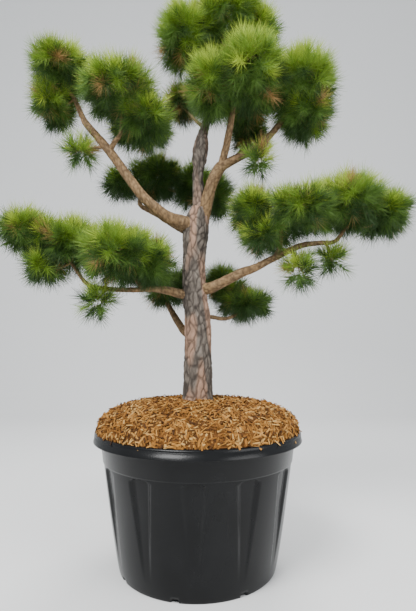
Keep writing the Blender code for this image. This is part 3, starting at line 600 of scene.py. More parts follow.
class Pot:
    """The tub: lathed lip and band over a fluted wall with drain slots at its foot."""

    def __init__(self, sizes: PotSizes, finish: PlasticFinish) -> None:
        """Keeps the tub's sizes and finish."""
        self.sizes = sizes
        self.finish = finish

    @staticmethod
    def _offset(angles: np.ndarray, count: int, turn: float) -> np.ndarray:
        """Measures how far each angle lies from the nearest of some evenly spaced marks.

        Args:
            angles: Angles around the tub.
            count: Number of marks.
            turn: The angle of the first mark.

        Returns:
            The angles to the nearest mark.
        """
        pitch = math.tau / count
        return np.abs((angles - turn + pitch / 2.0) % pitch - pitch / 2.0)

    def _flute(self, angles: np.ndarray, height: float) -> np.ndarray:
        """Works out how deep the flutes are around the wall.

        Args:
            angles: Angles around the tub.
            height: Height on the wall.

        Returns:
            The depth at each angle.
        """
        sizes = self.sizes
        share = min(max((height - sizes.flute_foot) / (sizes.band_foot - sizes.flute_foot), 0.0), 1.0)
        half = sizes.flute_half_angle * (sizes.flute_narrowing + (1.0 - sizes.flute_narrowing) * share)
        below = (sizes.band_foot - sizes.arch_gap - height) / sizes.arch_rise
        if below <= 0.0:
            return np.zeros_like(angles)
        if below < 1.0:
            half *= math.sqrt(1.0 - (1.0 - below) ** 2)
        offset = self._offset(angles, sizes.flutes, sizes.flute_turn)
        inside = np.clip((half - offset) / (sizes.flute_edge * half + 1e-6), 0.0, 1.0)
        deepest = sizes.flute_depth * min(1.0, sizes.flute_onset * share)
        return deepest * inside * inside * (3.0 - 2.0 * inside)

    def _drain(self, angles: np.ndarray, height: float) -> np.ndarray:
        """Works out how far the drain slots are sunk into the foot.

        Args:
            angles: Angles around the tub.
            height: Height on the wall.

        Returns:
            The depth at each angle.
        """
        sizes = self.sizes
        if height > sizes.drain_height:
            return np.zeros_like(angles)
        offset = self._offset(angles, sizes.drains, sizes.drain_turn)
        return np.where(offset * sizes.foot < sizes.drain_width / 2.0, sizes.drain_depth, 0.0)

    def _wall(self, angles: np.ndarray) -> list[tuple[np.ndarray | float, float]]:
        """Works out the underside and the fluted wall.

        Args:
            angles: Angles around the tub.

        Returns:
            The radius and height of each ring, from the middle of the underside up.
        """
        sizes = self.sizes
        heights = [0.0, 0.004, sizes.drain_height, sizes.drain_height + 0.0004]
        heights += list(np.arange(0.020, sizes.band_foot - 0.022, sizes.wall_step))
        heights += list(np.arange(sizes.band_foot - 0.021, sizes.band_foot - 0.003, sizes.arch_step))
        rings = [(0.0, 0.0)]
        for height in heights:
            share = height / sizes.band_foot
            radius = sizes.foot + (sizes.neck - sizes.foot) * share ** sizes.taper_power
            rings.append((radius - self._flute(angles, height) - self._drain(angles, height), height))
        return rings

    def _lip(self) -> list[tuple[float, float]]:
        """Works out the plain band, the rounded lip with its ridge, and the inner wall.

        Returns:
            The radius and height of each ring, from the top of the flutes to the filling.
        """
        sizes = self.sizes
        foot = sizes.height - sizes.lip_depth
        inner = sizes.lip_radius - sizes.lip_width
        face = sizes.lip_radius - sizes.lip_ridge
        profile = [
            (sizes.neck, sizes.band_foot - 0.002),
            (sizes.band_foot_radius - 0.0008, sizes.band_foot),
            (sizes.band_foot_radius, sizes.band_foot + 0.0015),
            (sizes.band_top, foot - 0.002),
            (sizes.band_top + 0.001, foot),
            (sizes.lip_radius - 0.002, foot),
            (sizes.lip_radius, foot + 0.0012),
            (sizes.lip_radius, foot + 0.0040),
            (face, foot + 0.0060),
            (face, sizes.height - sizes.lip_round),
        ]
        for step in range(9):
            turn = math.pi / 2.0 * step / 8.0
            profile.append((sizes.lip_radius - sizes.lip_round
                            + (sizes.lip_round - sizes.lip_ridge) * math.cos(turn),
                            sizes.height - sizes.lip_round + sizes.lip_round * math.sin(turn)))
        profile += [
            (inner + 0.003, sizes.height),
            (inner, sizes.height - 0.003),
            (sizes.band_foot_radius - sizes.wall, sizes.filling_top),
        ]
        return profile

    def build(self) -> None:
        """Makes the tub."""
        sizes = self.sizes
        angles = np.linspace(0.0, math.tau, sizes.sides, endpoint=False)
        rings = self._wall(angles) + self._lip()
        points = []
        for radius, height in rings:
            around = np.broadcast_to(radius, angles.shape)
            points.append(np.stack([around * np.sin(angles), -around * np.cos(angles),
                                    np.full(angles.shape, height)], axis=-1))
        faces = grid_faces(len(rings), sizes.sides)
        pot = mesh_object("tub", np.concatenate(points), faces, [self.finish.build()], True)
        attach(pot, ["pot"])


# Filling

@dataclass(frozen=True)
class MulchSizes:
    """Sizes of the mulch heap, in metres."""

    edge: float = 0.3480
    rim: float = 0.453
    sunk: float = 0.004
    heap: float = 0.097
    flatness: float = 3.0
    fullness: float = 0.4
    calm_edge: float = 0.125
    rings: int = 46
    sides: int = 150
    lumps: tuple[tuple[float, float], ...] = ((26.0, 0.005), (90.0, 0.003))
    # Painted shade: the bed under the chips is dealt dark browns around this value, with some spread and
    # waves
    shade: float = 0.22
    shade_spread: float = 0.12
    shade_waves: float = 60.0


@dataclass(frozen=True)
class ChipSizes:
    """A shred's shape, to a unit of its length, and how the shreds lie."""

    half_width: float = 0.055
    taper: float = 1.3
    blunt: float = 0.015
    curl: float = 0.22
    crown: float = 0.05
    keel: float = 0.02
    density: float = 17000.0
    length: float = 0.036
    tilt: Place = (0.55, 0.55, 3.15)
    least_stretch: Place = (0.35, 0.5, 0.6)
    most_stretch: Place = (1.35, 1.5, 1.4)


class Mulch:
    """A heap of shredded bark: a lumpy dome with chips scattered over it."""

    def __init__(self, sizes: MulchSizes, chips: ChipSizes, finish: MulchFinish) -> None:
        """Keeps what the heap is made from.

        Args:
            sizes: Its sizes.
            chips: How its shreds lie.
            finish: Its finish.
        """
        self.sizes = sizes
        self.chips = chips
        self.material = finish.build()

    def _dome(self) -> bpy.types.Object:
        """Makes the lumpy dome under the chips, dealt dark browns as painted shade in the gaps between
        them.

        Returns:
            The dome.
        """
        sizes = self.sizes
        points = []
        for ring in range(sizes.rings):
            share = 1.0 - ring / (sizes.rings - 1)
            radius = sizes.edge * share
            rise = max(0.0, 1.0 - share ** sizes.flatness) ** sizes.fullness
            height = sizes.rim - sizes.sunk + sizes.heap * rise
            for side in range(sizes.sides):
                angle = math.tau * side / sizes.sides
                place = Vector((radius * math.sin(angle), -radius * math.cos(angle), height))
                lump = sum(size * noise.noise(place * waves) for waves, size in sizes.lumps)
                lump *= min(1.0, (1.0 - share) / sizes.calm_edge)
                points.append((place.x, place.y, place.z + lump))
        faces = grid_faces(sizes.rings, sizes.sides)
        dome = mesh_object("mulch_bed", np.array(points), faces, [self.material], True)
        # Painted shade: the dome takes browns from the dark end of the ramp
        painted_gap_shades = [sizes.shade + sizes.shade_spread * noise.noise(Vector(point) * sizes.shade_waves)
                  for point in points]
        number_attribute(dome, "shade", np.array(painted_gap_shades))
        return dome

    def _chip(self) -> bpy.types.Object:
        """Makes one curled shred of bark, four-sided and widest in the middle.

        Returns:
            The shred, a unit long.
        """
        sizes, rows, points = self.chips, 4, []
        for step in range(rows):
            along = step / (rows - 1.0) - 0.5
            width = sizes.half_width * (1.0 - sizes.taper * along * along) + sizes.blunt
            lift = sizes.curl * (0.25 - along * along)
            points += [(along, -width, lift), (along, 0.0, lift + sizes.crown),
                       (along, width, lift), (along, 0.0, lift - sizes.keel)]
        return mesh_object("chip", np.array(points), grid_faces(rows, 4), [self.material])

    def _scatter(self, chip: bpy.types.Object) -> tuple[bpy.types.NodeTree, dict[str, float]]:
        """Makes the node tree that scatters the shreds.

        Args:
            chip: The shred.

        Returns:
            The node tree, and the value of each of its inputs by the socket's identifier.
        """
        tree = bpy.data.node_groups.new("scatter_chips", "GeometryNodeTree")
        tree.interface.new_socket("Geometry", in_out="INPUT", socket_type="NodeSocketGeometry")
        values = {}
        for name, value in (("Density", self.chips.density), ("Size", self.chips.length)):
            socket = tree.interface.new_socket(name, in_out="INPUT", socket_type="NodeSocketFloat")
            values[socket.identifier] = value
        tree.interface.new_socket("Geometry", in_out="OUTPUT", socket_type="NodeSocketGeometry")

        def add(kind: str, settings: dict[str, object], **inputs: object) -> bpy.types.Node:
            """Adds a node with some settings and some values on its inputs."""
            node = tree.nodes.new(kind)
            for name, value in settings.items():
                setattr(node, name, value)
            for name, value in inputs.items():
                node.inputs[name].default_value = value
            return node

        source, target = add("NodeGroupInput", {}), add("NodeGroupOutput", {})
        spread = add("GeometryNodeDistributePointsOnFaces", {})
        shred = add("GeometryNodeObjectInfo", {}, Object=chip)
        place = add("GeometryNodeInstanceOnPoints", {})
        low = tuple(-turn for turn in self.chips.tilt)
        tilt = add("FunctionNodeRandomValue", {"data_type": "FLOAT_VECTOR"},
                   Min=low, Max=self.chips.tilt, Seed=0)
        euler = add("FunctionNodeEulerToRotation", {})
        turn = add("FunctionNodeRotateRotation", {"rotation_space": "LOCAL"})
        stretch = add("FunctionNodeRandomValue", {"data_type": "FLOAT_VECTOR"},
                      Min=self.chips.least_stretch, Max=self.chips.most_stretch, Seed=5)
        scale = add("ShaderNodeVectorMath", {"operation": "SCALE"})
        shade = add("FunctionNodeRandomValue", {}, Seed=9)
        store = add("GeometryNodeStoreNamedAttribute", {"domain": "INSTANCE"}, Name="shade")
        real = add("GeometryNodeRealizeInstances", {})
        dress = add("GeometryNodeSetMaterial", {}, Material=self.material)
        wires = (
            (source, "Geometry", spread, "Mesh"),
            (source, "Density", spread, "Density"),
            (spread, "Points", place, "Points"),
            (shred, "Geometry", place, "Instance"),
            (tilt, "Value", euler, "Euler"),
            (spread, "Rotation", turn, "Rotation"),
            (euler, "Rotation", turn, "Rotate By"),
            (turn, "Rotation", place, "Rotation"),
            (stretch, "Value", scale, "Vector"),
            (source, "Size", scale, "Scale"),
            (scale, "Vector", place, "Scale"),
            (place, "Instances", store, "Geometry"),
            (shade, "Value", store, "Value"),
            (store, "Geometry", real, "Geometry"),
            (real, "Geometry", dress, "Geometry"),
            (dress, "Geometry", target, "Geometry"),
        )
        for start, output, end, socket in wires:
            tree.links.new(start.outputs[output], end.inputs[socket])
        return tree, values

    def build(self) -> None:
        """Makes the heap."""
        dome = self._dome()
        chip = self._chip()
        scatter = dome.modifiers.new("chips", "NODES")
        scatter.node_group, values = self._scatter(chip)
        for identifier, value in values.items():
            scatter[identifier] = value
        bpy.context.view_layer.update()
        graph = bpy.context.evaluated_depsgraph_get()
        mesh = bpy.data.meshes.new_from_object(dome.evaluated_get(graph), depsgraph=graph)
        mesh.name = "mulch_chips"
        dome.modifiers.remove(scatter)
        chips = bpy.data.objects.new("mulch_chips", mesh)
        bpy.context.scene.collection.objects.link(chips)
        bpy.data.objects.remove(chip)
        for piece in (dome, chips):
            attach(piece, ["bark_mulch"])


class RootBall:
    """The substrate inside the tub, hidden by the mulch."""

    def __init__(self, finish: PlainFinish) -> None:
        """Makes the substrate's finish."""
        self.material = finish.build()

    def build(self) -> None:
        """Dresses the solid."""
        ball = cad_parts["root_ball"]
        ball.data.materials.clear()
        ball.data.materials.append(self.material)


# Limbs

@dataclass(frozen=True)
class Relief:
    """Relief of a limb's bark, in metres, and in cells and waves to the metre."""

    depth: float
    cells: float
    stretch: float
    sides: int
    spacing: float
    flaking: float
    cell_edge: float = 0.28
    warp: float = 0.5
    warp_waves: float = 30.0
    strip_waves: Place = (26.0, 26.0, 5.0)
    patch_weight: float = 0.55
    flake_start: float = 0.12
    flake_slope: float = 4.0
    flake_depth: float = 0.7
    flake_waves: float = 120.0
    grain: float = 0.4
    grain_waves: float = 160.0
    fissure_share: float = 0.25
    swelling: float = 0.05
    swelling_waves: tuple[float, float] = (14.0, 1.3)
    even_patch: float = 0.5


@dataclass(frozen=True)
class Knot:
    """A swelling on the bark."""

    place: Place
    size: float
    rise: float


class Bark(Enum):
    """The relief of each kind of limb."""

    TRUNK = Relief(depth=0.0034, cells=46.0, stretch=0.42, sides=120, spacing=0.0045, flaking=1.0)
    LEADER = Relief(depth=0.0028, cells=60.0, stretch=0.50, sides=60, spacing=0.0050, flaking=0.5)
    BOUGH = Relief(depth=0.0011, cells=80.0, stretch=0.50, sides=30, spacing=0.0070, flaking=0.3)


# Height where the trunk is flaked most, and how far the flaking spreads up and down
FLAKED_HEIGHT = 0.83
FLAKED_SPREAD = 0.13
# Width that the trunk gains at its foot, the height over which it fades, and its lobes
FLARE = 0.009
FLARE_HEIGHT = 0.028
FLARE_LOBES = 5.0
FLARE_TURN = 0.6
FLARE_FADE = 0.25
# How many of its sizes a knot reaches
KNOT_REACH = 3.0

KNOTS = (
    Knot((-0.045, -0.040, 0.760), size=0.012, rise=0.006),
    Knot((0.120, -0.025, 0.860), size=0.012, rise=0.005),
    Knot((-0.010, -0.045, 0.700), size=0.016, rise=0.004),
)


def smooth_path(path: Sequence[tuple[float, ...]], spacing: float) -> list[tuple[Vector, float]]:
    """Samples a smooth curve through a limb's path.

    Args:
        path: Points (x, y, z, radius).
        spacing: Distance between samples.

    Returns:
        Pairs of position and radius.
    """
    knots = [np.array(point) for point in path]
    knots = [2.0 * knots[0] - knots[1]] + knots + [2.0 * knots[-1] - knots[-2]]
    samples = []
    for before, start, end, after in zip(knots, knots[1:], knots[2:], knots[3:]):
        steps = max(1, round(float(np.linalg.norm((end - start)[:3])) / spacing))
        for step in range(steps):
            t = step / steps
            samples.append(0.5 * (2.0 * start + (end - before) * t
                                  + (2.0 * before - 5.0 * start + 4.0 * end - after) * t ** 2
                                  + (3.0 * start - before - 3.0 * end + after) * t ** 3))
    samples.append(knots[-2])
    return [(Vector(sample[:3]), float(sample[3])) for sample in samples]


class Limbs:
    """Trunk, leader and boughs with bark relief."""

    def __init__(self, dark: BarkFinish, tan: BarkFinish) -> None:
        """Makes the dark bark of the trunk and leader and the tan bark of the boughs."""
        self.materials = {Slot.TRUNK: dark.build(), Slot.BOUGH: tan.build()}

    @staticmethod
    def _bark(place: Vector, relief: Relief, patch: float) -> tuple[float, float, float]:
        """Works out the bark at a place on a limb's skin.

        Args:
            place: The place.
            relief: The limb's relief.
            patch: How likely the bark is to flake there.

        Returns:
            How far the bark stands out, and its plate and flake numbers.
        """
        cell = Vector((place.x, place.y, place.z * relief.stretch)) * relief.cells
        cell += noise.noise_vector(place * relief.warp_waves) * relief.warp
        near = noise.voronoi(cell)[0]
        plate = min(1.0, (near[1] - near[0]) / relief.cell_edge)
        strip = noise.noise(Vector(a * b for a, b in zip(place, relief.strip_waves)))
        flake = (strip + relief.patch_weight * patch - relief.flake_start) * relief.flake_slope
        flake = min(1.0, max(0.0, flake)) * relief.flaking
        rough = relief.flake_depth * flake * abs(noise.noise(place * relief.flake_waves))
        depth = -relief.depth * ((1.0 - plate) + rough)
        depth += relief.depth * relief.grain * noise.noise(place * relief.grain_waves)
        for knot in KNOTS:
            gap = (place - Vector(knot.place)).length / knot.size
            if gap < KNOT_REACH:
                depth += knot.rise * math.exp(-gap * gap)
        return depth, relief.fissure_share + (1.0 - relief.fissure_share) * plate, flake

    def _limb(self, limb: Limb) -> tuple[np.ndarray, np.ndarray, np.ndarray, np.ndarray]:
        """Works out the skin of one limb.

        Args:
            limb: The limb.

        Returns:
            Points, faces, and the plate and flake numbers of each point.
        """
        relief = {"trunk": Bark.TRUNK, "leader": Bark.LEADER}.get(limb.name, Bark.BOUGH).value
        samples = smooth_path(limb.path, relief.spacing)
        is_trunk = limb.name == "trunk"
        side = Vector((1.0, 0.0, 0.0))
        points, plates, flakes = [], [], []
        for index, (centre, radius) in enumerate(samples):
            after = samples[min(index + 1, len(samples) - 1)][0]
            along = (after - samples[max(index - 1, 0)][0]).normalized()
            if is_trunk and index == 0:
                along = Vector((0.0, 0.0, 1.0))
            side = (side - along * side.dot(along)).normalized()
            other = along.cross(side)
            for step in range(relief.sides):
                angle = math.tau * step / relief.sides
                outward = side * math.cos(angle) + other * math.sin(angle)
                waves = centre * relief.swelling_waves[0] + outward * relief.swelling_waves[1]
                swelling = 1.0 + relief.swelling * noise.noise(waves)
                flare = 0.0
                if is_trunk:
                    roots = 1.0 - FLARE_FADE + FLARE_FADE * math.cos(FLARE_LOBES * angle + FLARE_TURN)
                    flare = FLARE * roots * math.exp(-(centre.z - samples[0][0].z) / FLARE_HEIGHT)
                place = centre + outward * (radius * swelling + flare)
                patch = relief.even_patch
                if is_trunk:
                    patch = math.exp(-((place.z - FLAKED_HEIGHT) / FLAKED_SPREAD) ** 2)
                depth, plate, flake = self._bark(place, relief, patch)
                points.append(place + outward * depth)
                plates.append(plate)
                flakes.append(flake)
        tip = len(points)
        points.append(samples[-1][0])
        plates.append(1.0)
        flakes.append(0.0)
        last = (len(samples) - 1) * relief.sides
        cap = [(last + step, last + (step + 1) % relief.sides, tip) for step in range(relief.sides)]
        faces = np.concatenate([halved(grid_faces(len(samples), relief.sides)), np.array(cap)])
        return np.array(points), faces, np.array(plates), np.array(flakes)

    def build(self) -> None:
        """Makes a piece for each limb."""
        for limb in LIMBS:
            points, faces, plates, flakes = self._limb(limb)
            slot = Slot.TRUNK if limb.name in ("trunk", "leader") else Slot.BOUGH
            piece = mesh_object(limb.name + "_bark", points, faces, [self.materials[slot]], True)
            number_attribute(piece, "plate", plates)
            number_attribute(piece, "flake", flakes)
            attach(piece, [limb.name])


# Foliage

@dataclass(frozen=True)
class Growth:
    """How twigs and shoots grow in a mass, in metres."""

    spacing: float = 0.040
    depth: float = 0.066
    depth_range: tuple[float, float] = (0.85, 1.25)
    deepest: float = 0.85
    shoot: float = 0.045
    shoot_range: tuple[float, float] = (0.7, 1.2)
    needles: int = 58
    needle: float = 0.054
    needle_range: tuple[float, float] = (0.75, 1.18)
    needle_radius: float = 0.00105
    lift: float = 0.45
    twig_radius: float = 0.0008
    pipe_power: float = 2.4
    path_weight: float = 0.4
    twig_step: float = 0.045
    twig_sag: float = 0.08
    hub_drop: float = 0.25
    inner_share: float = 0.45
    inner_depth: float = 0.45
    inner_needles: float = 0.6
    scatter: float = 0.13
    least_shoots: int = 14
    least_tuft_shoots: int = 12
    underside: float = -0.3
    bridge_reach: float = 1.4
    bridge_share: float = 0.88
    outline_edge: float = 0.93
    foot_opening: float = 68.0
    opening_fall: float = 48.0
    opening_power: float = 1.3
    tip_drift: float = 0.004
    least_twig: float = 0.0006
    shoot_radii: tuple[float, float] = (0.0014, 0.0008)
    room: int = 4096


@dataclass(frozen=True)
class Dealing:
    """How the tints are dealt, as painted light and shade: by a shoot's facing, its mass's height, and
    chance.
    """

    tan_inside: float = 0.10
    tan_outside: float = 0.02
    # Painted light: shoots that face up and masses high in the crown are dealt lighter tints
    facing: float = 0.68
    height: float = 0.26
    spread: float = 0.22
    # Painted shade: masses at the back and low down are dealt darker tints
    behind: float = 0.30
    crown_foot: float = 0.9
    crown_height: float = 1.1
    starts: tuple[tuple[float, Tint], ...] = (
        (0.40, Tint.SUNLIT), (0.02, Tint.FRESH), (-0.42, Tint.MIDDLE))


# A shoot's foot, heading and length, how far it faces up, and whether it is an inner one
Shoot = namedtuple("Shoot", "base axis length facing inner")


def reach(point: Vector, lobes: Sequence[tuple[float, ...]]) -> float:
    """Tells how far out a point lies in a mass.

    Args:
        point: The point.
        lobes: The mass's lobes.

    Returns:
        0 at a lobe's middle, 1 at the outline.
    """
    return min(math.sqrt(((point.x - lobe[0]) / lobe[3]) ** 2 + ((point.y - lobe[1]) / lobe[4]) ** 2
                         + ((point.z - lobe[2]) / lobe[5]) ** 2) for lobe in lobes)


class Foliage:
    """Twigs grown through each mass, with needled shoots at their tips."""

    def __init__(self, growth: Growth, dealing: Dealing, bark: BarkFinish) -> None:
        """Keeps what the foliage is made from.

        Args:
            growth: How it grows.
            dealing: How its tints are dealt.
            bark: The finish of the twigs.
        """
        self.growth = growth
        self.dealing = dealing
        self.bark = bark
        self.low, self.high = (np.array(corner) for corner in FRAME_BOX)
        self.needles: dict[tuple[Tier, Tint], list[np.ndarray]] = defaultdict(list)
        self.twigs: dict[Tier, list[tuple[np.ndarray, np.ndarray]]] = defaultdict(list)
        self.members: dict[Tier, list[str]] = defaultdict(list)

    def _pads(self, mass: Mass) -> list[tuple[float, ...]]:
        """Bridges a mass's lobes, so that its pad is continuous.

        Args:
            mass: The mass.

        Returns:
            Its lobes, with one between each two neighbours.
        """
        lobes = list(mass.lobes)
        for first, second in zip(mass.lobes, mass.lobes[1:]):
            apart = (Vector(first[:3]) - Vector(second[:3])).length
            if apart < self.growth.bridge_reach * (first[3] + second[3]):
                middle = [(a + b) / 2.0 for a, b in zip(first[:3], second[:3])]
                sizes = [self.growth.bridge_share * min(a, b) for a, b in zip(first[3:], second[3:])]
                lobes.append((*middle, *sizes))
        return lobes

    def _shoots(self, mass: Mass, chance: random.Random) -> list[Shoot]:
        """Spreads shoots over every side of a mass.

        Args:
            mass: The mass.
            chance: The source of chance.

        Returns:
            The shoots.
        """
        growth = self.growth
        shoots = []
        lobes = self._pads(mass)
        for lobe in lobes:
            middle, half = Vector(lobe[:3]), Vector(lobe[3:])
            mean = (half.x * half.y * half.z) ** (1.0 / 3.0)
            count = round(4.0 * math.pi * mean ** 2 / growth.spacing ** 2)
            count = max(growth.least_shoots, count)
            if mass.name.endswith("_tuft"):
                count = max(growth.least_tuft_shoots, count // 2)
            inner_count = round(count * growth.inner_share)
            turn = chance.uniform(0.0, math.tau)
            for index in range(count + inner_count):
                is_inner = index >= count
                total = inner_count if is_inner else count
                height = 1.0 - 2.0 * ((index - count if is_inner else index) + 0.5) / total
                level = math.sqrt(max(0.0, 1.0 - height ** 2))
                angle = turn + GOLDEN_ANGLE * index
                unit = Vector((level * math.cos(angle), level * math.sin(angle), height))
                unit += Vector(chance.gauss(0.0, growth.scatter) for _ in range(3))
                unit.normalize()
                outline = middle + unit * half
                outward = Vector(a / b for a, b in zip(unit, half)).normalized()
                lift = growth.lift if outward.z > growth.underside else 0.0
                axis = (outward + Vector((0.0, 0.0, lift))).normalized()
                deep = growth.depth * chance.uniform(*growth.depth_range)
                if is_inner:
                    deep += growth.inner_depth * mean
                base = outline - outward * min(deep, growth.deepest * min(half))
                own = reach(base, lobes)
                if not is_inner and reach(outline, lobes) < growth.outline_edge:
                    continue
                if any(reach(base, other.lobes) < own for other in MASSES if other is not mass):
                    continue
                length = growth.shoot * chance.uniform(*growth.shoot_range)
                shoots.append(Shoot(base, axis, length, outward.z, is_inner))
        return shoots

    def _grow(self, root: Vector, hubs: list[Vector],
              tips: list[Vector]) -> tuple[list[Vector], list[int], list[list[int]]]:
        """Joins each hub and then each tip, nearest first, to the twigs grown so far.

        Args:
            root: Where the limb ends.
            hubs: The lobes' middles.
            tips: The shoots' feet.

        Returns:
            The points, each point's parent, and the chain of points of each twig.
        """
        growth = self.growth
        points, parents, chains = [root], [-1], []
        places = np.zeros((growth.room, 3))
        lengths = np.zeros(growth.room)
        places[0] = root

        def distance(place: Vector) -> float:
            """Returns how far a place is from the root."""
            return (place - root).length

        for tip in sorted(hubs, key=distance) + sorted(tips, key=distance):
            count = len(points)
            costs = np.linalg.norm(places[:count] - np.array(tip), axis=1)
            costs = costs + growth.path_weight * lengths[:count]
            parent = int(np.argmin(costs))
            start, chain = points[parent], [parent]
            span = tip - start
            steps = max(1, round(span.length / growth.twig_step))
            for step in range(1, steps + 1):
                share = step / steps
                sag = Vector((0.0, 0.0, -growth.twig_sag * span.length * math.sin(math.pi * share)))
                points.append(start + span * share + sag)
                places[len(points) - 1] = points[-1]
                lengths[len(points) - 1] = lengths[parent] + span.length / steps
                parents.append(parent)
                parent = len(points) - 1
                chain.append(parent)
            chains.append(chain)
        return points, parents, chains

    def _radii(self, parents: list[int], chains: list[list[int]]) -> list[float]:
        """Makes a twig as thick as all that grows out of it together.

        Args:
            parents: Each point's parent.
            chains: The chains that end in a shoot.

        Returns:
            Each point's radius.
        """
        loads = [0.0] * len(parents)
        power = self.growth.pipe_power
        for chain in chains:
            loads[chain[-1]] += self.growth.twig_radius ** power
        for index in range(len(parents) - 1, 0, -1):
            loads[parents[index]] += loads[index]
        return [load ** (1.0 / power) for load in loads]

    @staticmethod
    def _tube(places: Sequence[Vector], radii: Sequence[float],
              sides: int) -> tuple[np.ndarray, np.ndarray]:
        """Makes an open tube along a chain of points.

        Args:
            places: The points.
            radii: The radius at each.
            sides: Its number of sides.

        Returns:
            Points and quads.
        """
        side = Vector((0.31, 0.95, 0.05))
        rings = []
        for index, place in enumerate(places):
            along = (places[min(index + 1, len(places) - 1)] - places[max(index - 1, 0)]).normalized()
            side = side - along * side.dot(along)
            side = side.normalized() if side.length > 1e-5 else along.orthogonal().normalized()
            other = along.cross(side)
            for step in range(sides):
                angle = math.tau * step / sides
                rings.append(place + (side * math.cos(angle) + other * math.sin(angle)) * radii[index])
        return np.array(rings), grid_faces(len(places), sides)

    def _tint(self, mass: Mass, shoot: Shoot, chance: random.Random) -> Tint:
        """Deals a shoot its colour as painted light and shade: lighter on top, darker below and inside.

        Args:
            mass: The mass that bears it.
            shoot: The shoot.
            chance: The source of chance.

        Returns:
            The colour.
        """
        dealing = self.dealing
        # Painted shade: inner shoots are dealt the darkest green, unless they are dead tan needles
        if shoot.inner:
            return Tint.TAN if chance.random() < dealing.tan_inside else Tint.SHADED
        if chance.random() < dealing.tan_outside:
            return Tint.TAN
        high = (mass.lobes[0][2] - dealing.crown_foot) / dealing.crown_height
        value = dealing.facing * shoot.facing + dealing.height * high + chance.gauss(0.0, dealing.spread)
        # Painted shade on the masses at the back and the low ones
        if "back" in mass.name or mass.name.startswith("low"):
            value -= dealing.behind
        return next((tint for start, tint in dealing.starts if value > start), Tint.SHADED)

    def _needles(self, shoot: Shoot, spread: np.random.Generator) -> np.ndarray:
        """Sets needles around a shoot, wide at its foot and forward at its tip.

        Args:
            shoot: The shoot.
            spread: The source of chance.

        Returns:
            The corners of each needle: three at its foot and one at its tip.
        """
        growth = self.growth
        count = round(growth.needles * (growth.inner_needles if shoot.inner else 1.0))
        axis = np.array(shoot.axis)
        side = np.array(shoot.axis.orthogonal().normalized())
        other = np.cross(axis, side)
        along = (np.arange(count) + 0.5) / count
        turn = GOLDEN_ANGLE * np.arange(count) + spread.uniform(0.0, math.tau)
        opening = growth.foot_opening - growth.opening_fall * along ** growth.opening_power
        open_angle = np.radians(opening) + spread.normal(0.0, growth.scatter, count)
        ring = np.cos(turn)[:, None] * side + np.sin(turn)[:, None] * other
        heading = np.cos(open_angle)[:, None] * axis + np.sin(open_angle)[:, None] * ring
        foot = np.array(shoot.base) + axis * (along * shoot.length)[:, None]
        length = growth.needle * spread.uniform(*growth.needle_range, count)
        tip = foot + heading * length[:, None]
        tip[:, 2] += growth.tip_drift * spread.normal(0.0, 1.0, count)
        tip = np.clip(tip, self.low, self.high)
        first = np.cross(heading, ring + 0.01)
        first /= np.linalg.norm(first, axis=1, keepdims=True)
        second = np.cross(heading, first)
        corners = [foot + growth.needle_radius * (math.cos(a) * first + math.sin(a) * second)
                   for a in (0.0, math.tau / 3.0, 2.0 * math.tau / 3.0)]
        return np.stack(corners + [tip], axis=1)

    def _grow_mass(self, mass: Mass, root: Vector, seed: int) -> None:
        """Grows one mass.

        Args:
            mass: The mass.
            root: Where the limb that bears it ends.
            seed: The seed of its random draws.
        """
        chance = random.Random(seed)
        spread = np.random.default_rng(seed)
        tier = Tier.UPPER if mass.lobes[0][2] > Tier.UPPER.value else Tier.LOWER
        self.members[tier].append(mass.name)
        shoots = self._shoots(mass, chance)
        hubs = [Vector((x, y, z - self.growth.hub_drop * half_height))
                for x, y, z, _, _, half_height in mass.lobes]
        points, parents, chains = self._grow(root, hubs, [shoot.base for shoot in shoots])
        radii = self._radii(parents, chains[len(hubs):])
        for chain in chains:
            places = [points[index] for index in chain]
            widths = [max(self.growth.least_twig, min(radii[index], radii[chain[1]]))
                      for index in chain]
            self.twigs[tier].append(self._tube(places, widths, 4))
        for shoot in shoots:
            places = [shoot.base, shoot.base + shoot.axis * shoot.length]
            self.twigs[tier].append(self._tube(places, self.growth.shoot_radii, 3))
            self.needles[tier, self._tint(mass, shoot, chance)].append(self._needles(shoot, spread))
        LOG.info("%s: %d shoots", mass.name, len(shoots))

    def build(self) -> None:
        """Grows every mass and joins what it bears into a few pieces."""
        roots = {limb.name: Vector(limb.path[-1][:3]) for limb in LIMBS}
        for seed, mass in enumerate(MASSES, FIRST_MASS_SEED):
            self._grow_mass(mass, roots[mass.limb], seed)
        # Lit and shaded copies of the needles' green, painted light and shade, plus the tan of dead
        # needles
        colours = {tint: PlainFinish("needles_" + tint.name.lower(), tint.value,
                                     NEEDLE_ROUGHNESS, NEEDLE_SPECULAR).build() for tint in Tint}
        for (tier, tint), sprays in self.needles.items():
            corners = np.concatenate(sprays)
            start = np.arange(len(corners))[:, None, None] * 4
            faces = (start + np.array([(0, 1, 3), (1, 2, 3), (2, 0, 3)])).reshape(-1, 3)
            name = f"needles_{tint.name.lower()}_{tier.name.lower()}"
            piece = mesh_object(name, corners.reshape(-1, 3), faces, [colours[tint]])
            attach(piece, self.members[tier])
        bark = self.bark.build()
        for tier, tubes in self.twigs.items():
            counts = np.cumsum([0] + [len(points) for points, _ in tubes])
            points = np.concatenate([points for points, _ in tubes])
            quads = np.concatenate([faces + count for (_, faces), count in zip(tubes, counts)])
            piece = mesh_object(f"twigs_{tier.name.lower()}", points, halved(quads), [bark], True)
            number_attribute(piece, "plate", np.ones(len(points)))
            number_attribute(piece, "flake", np.full(len(points), TWIG_FLAKE))
            attach(piece, self.members[tier])


# Studio

@dataclass(frozen=True)
class Lamp:
    """A soft rectangular lamp."""

    name: str
    place: Place
    aim: Place
    size: float
    power: float


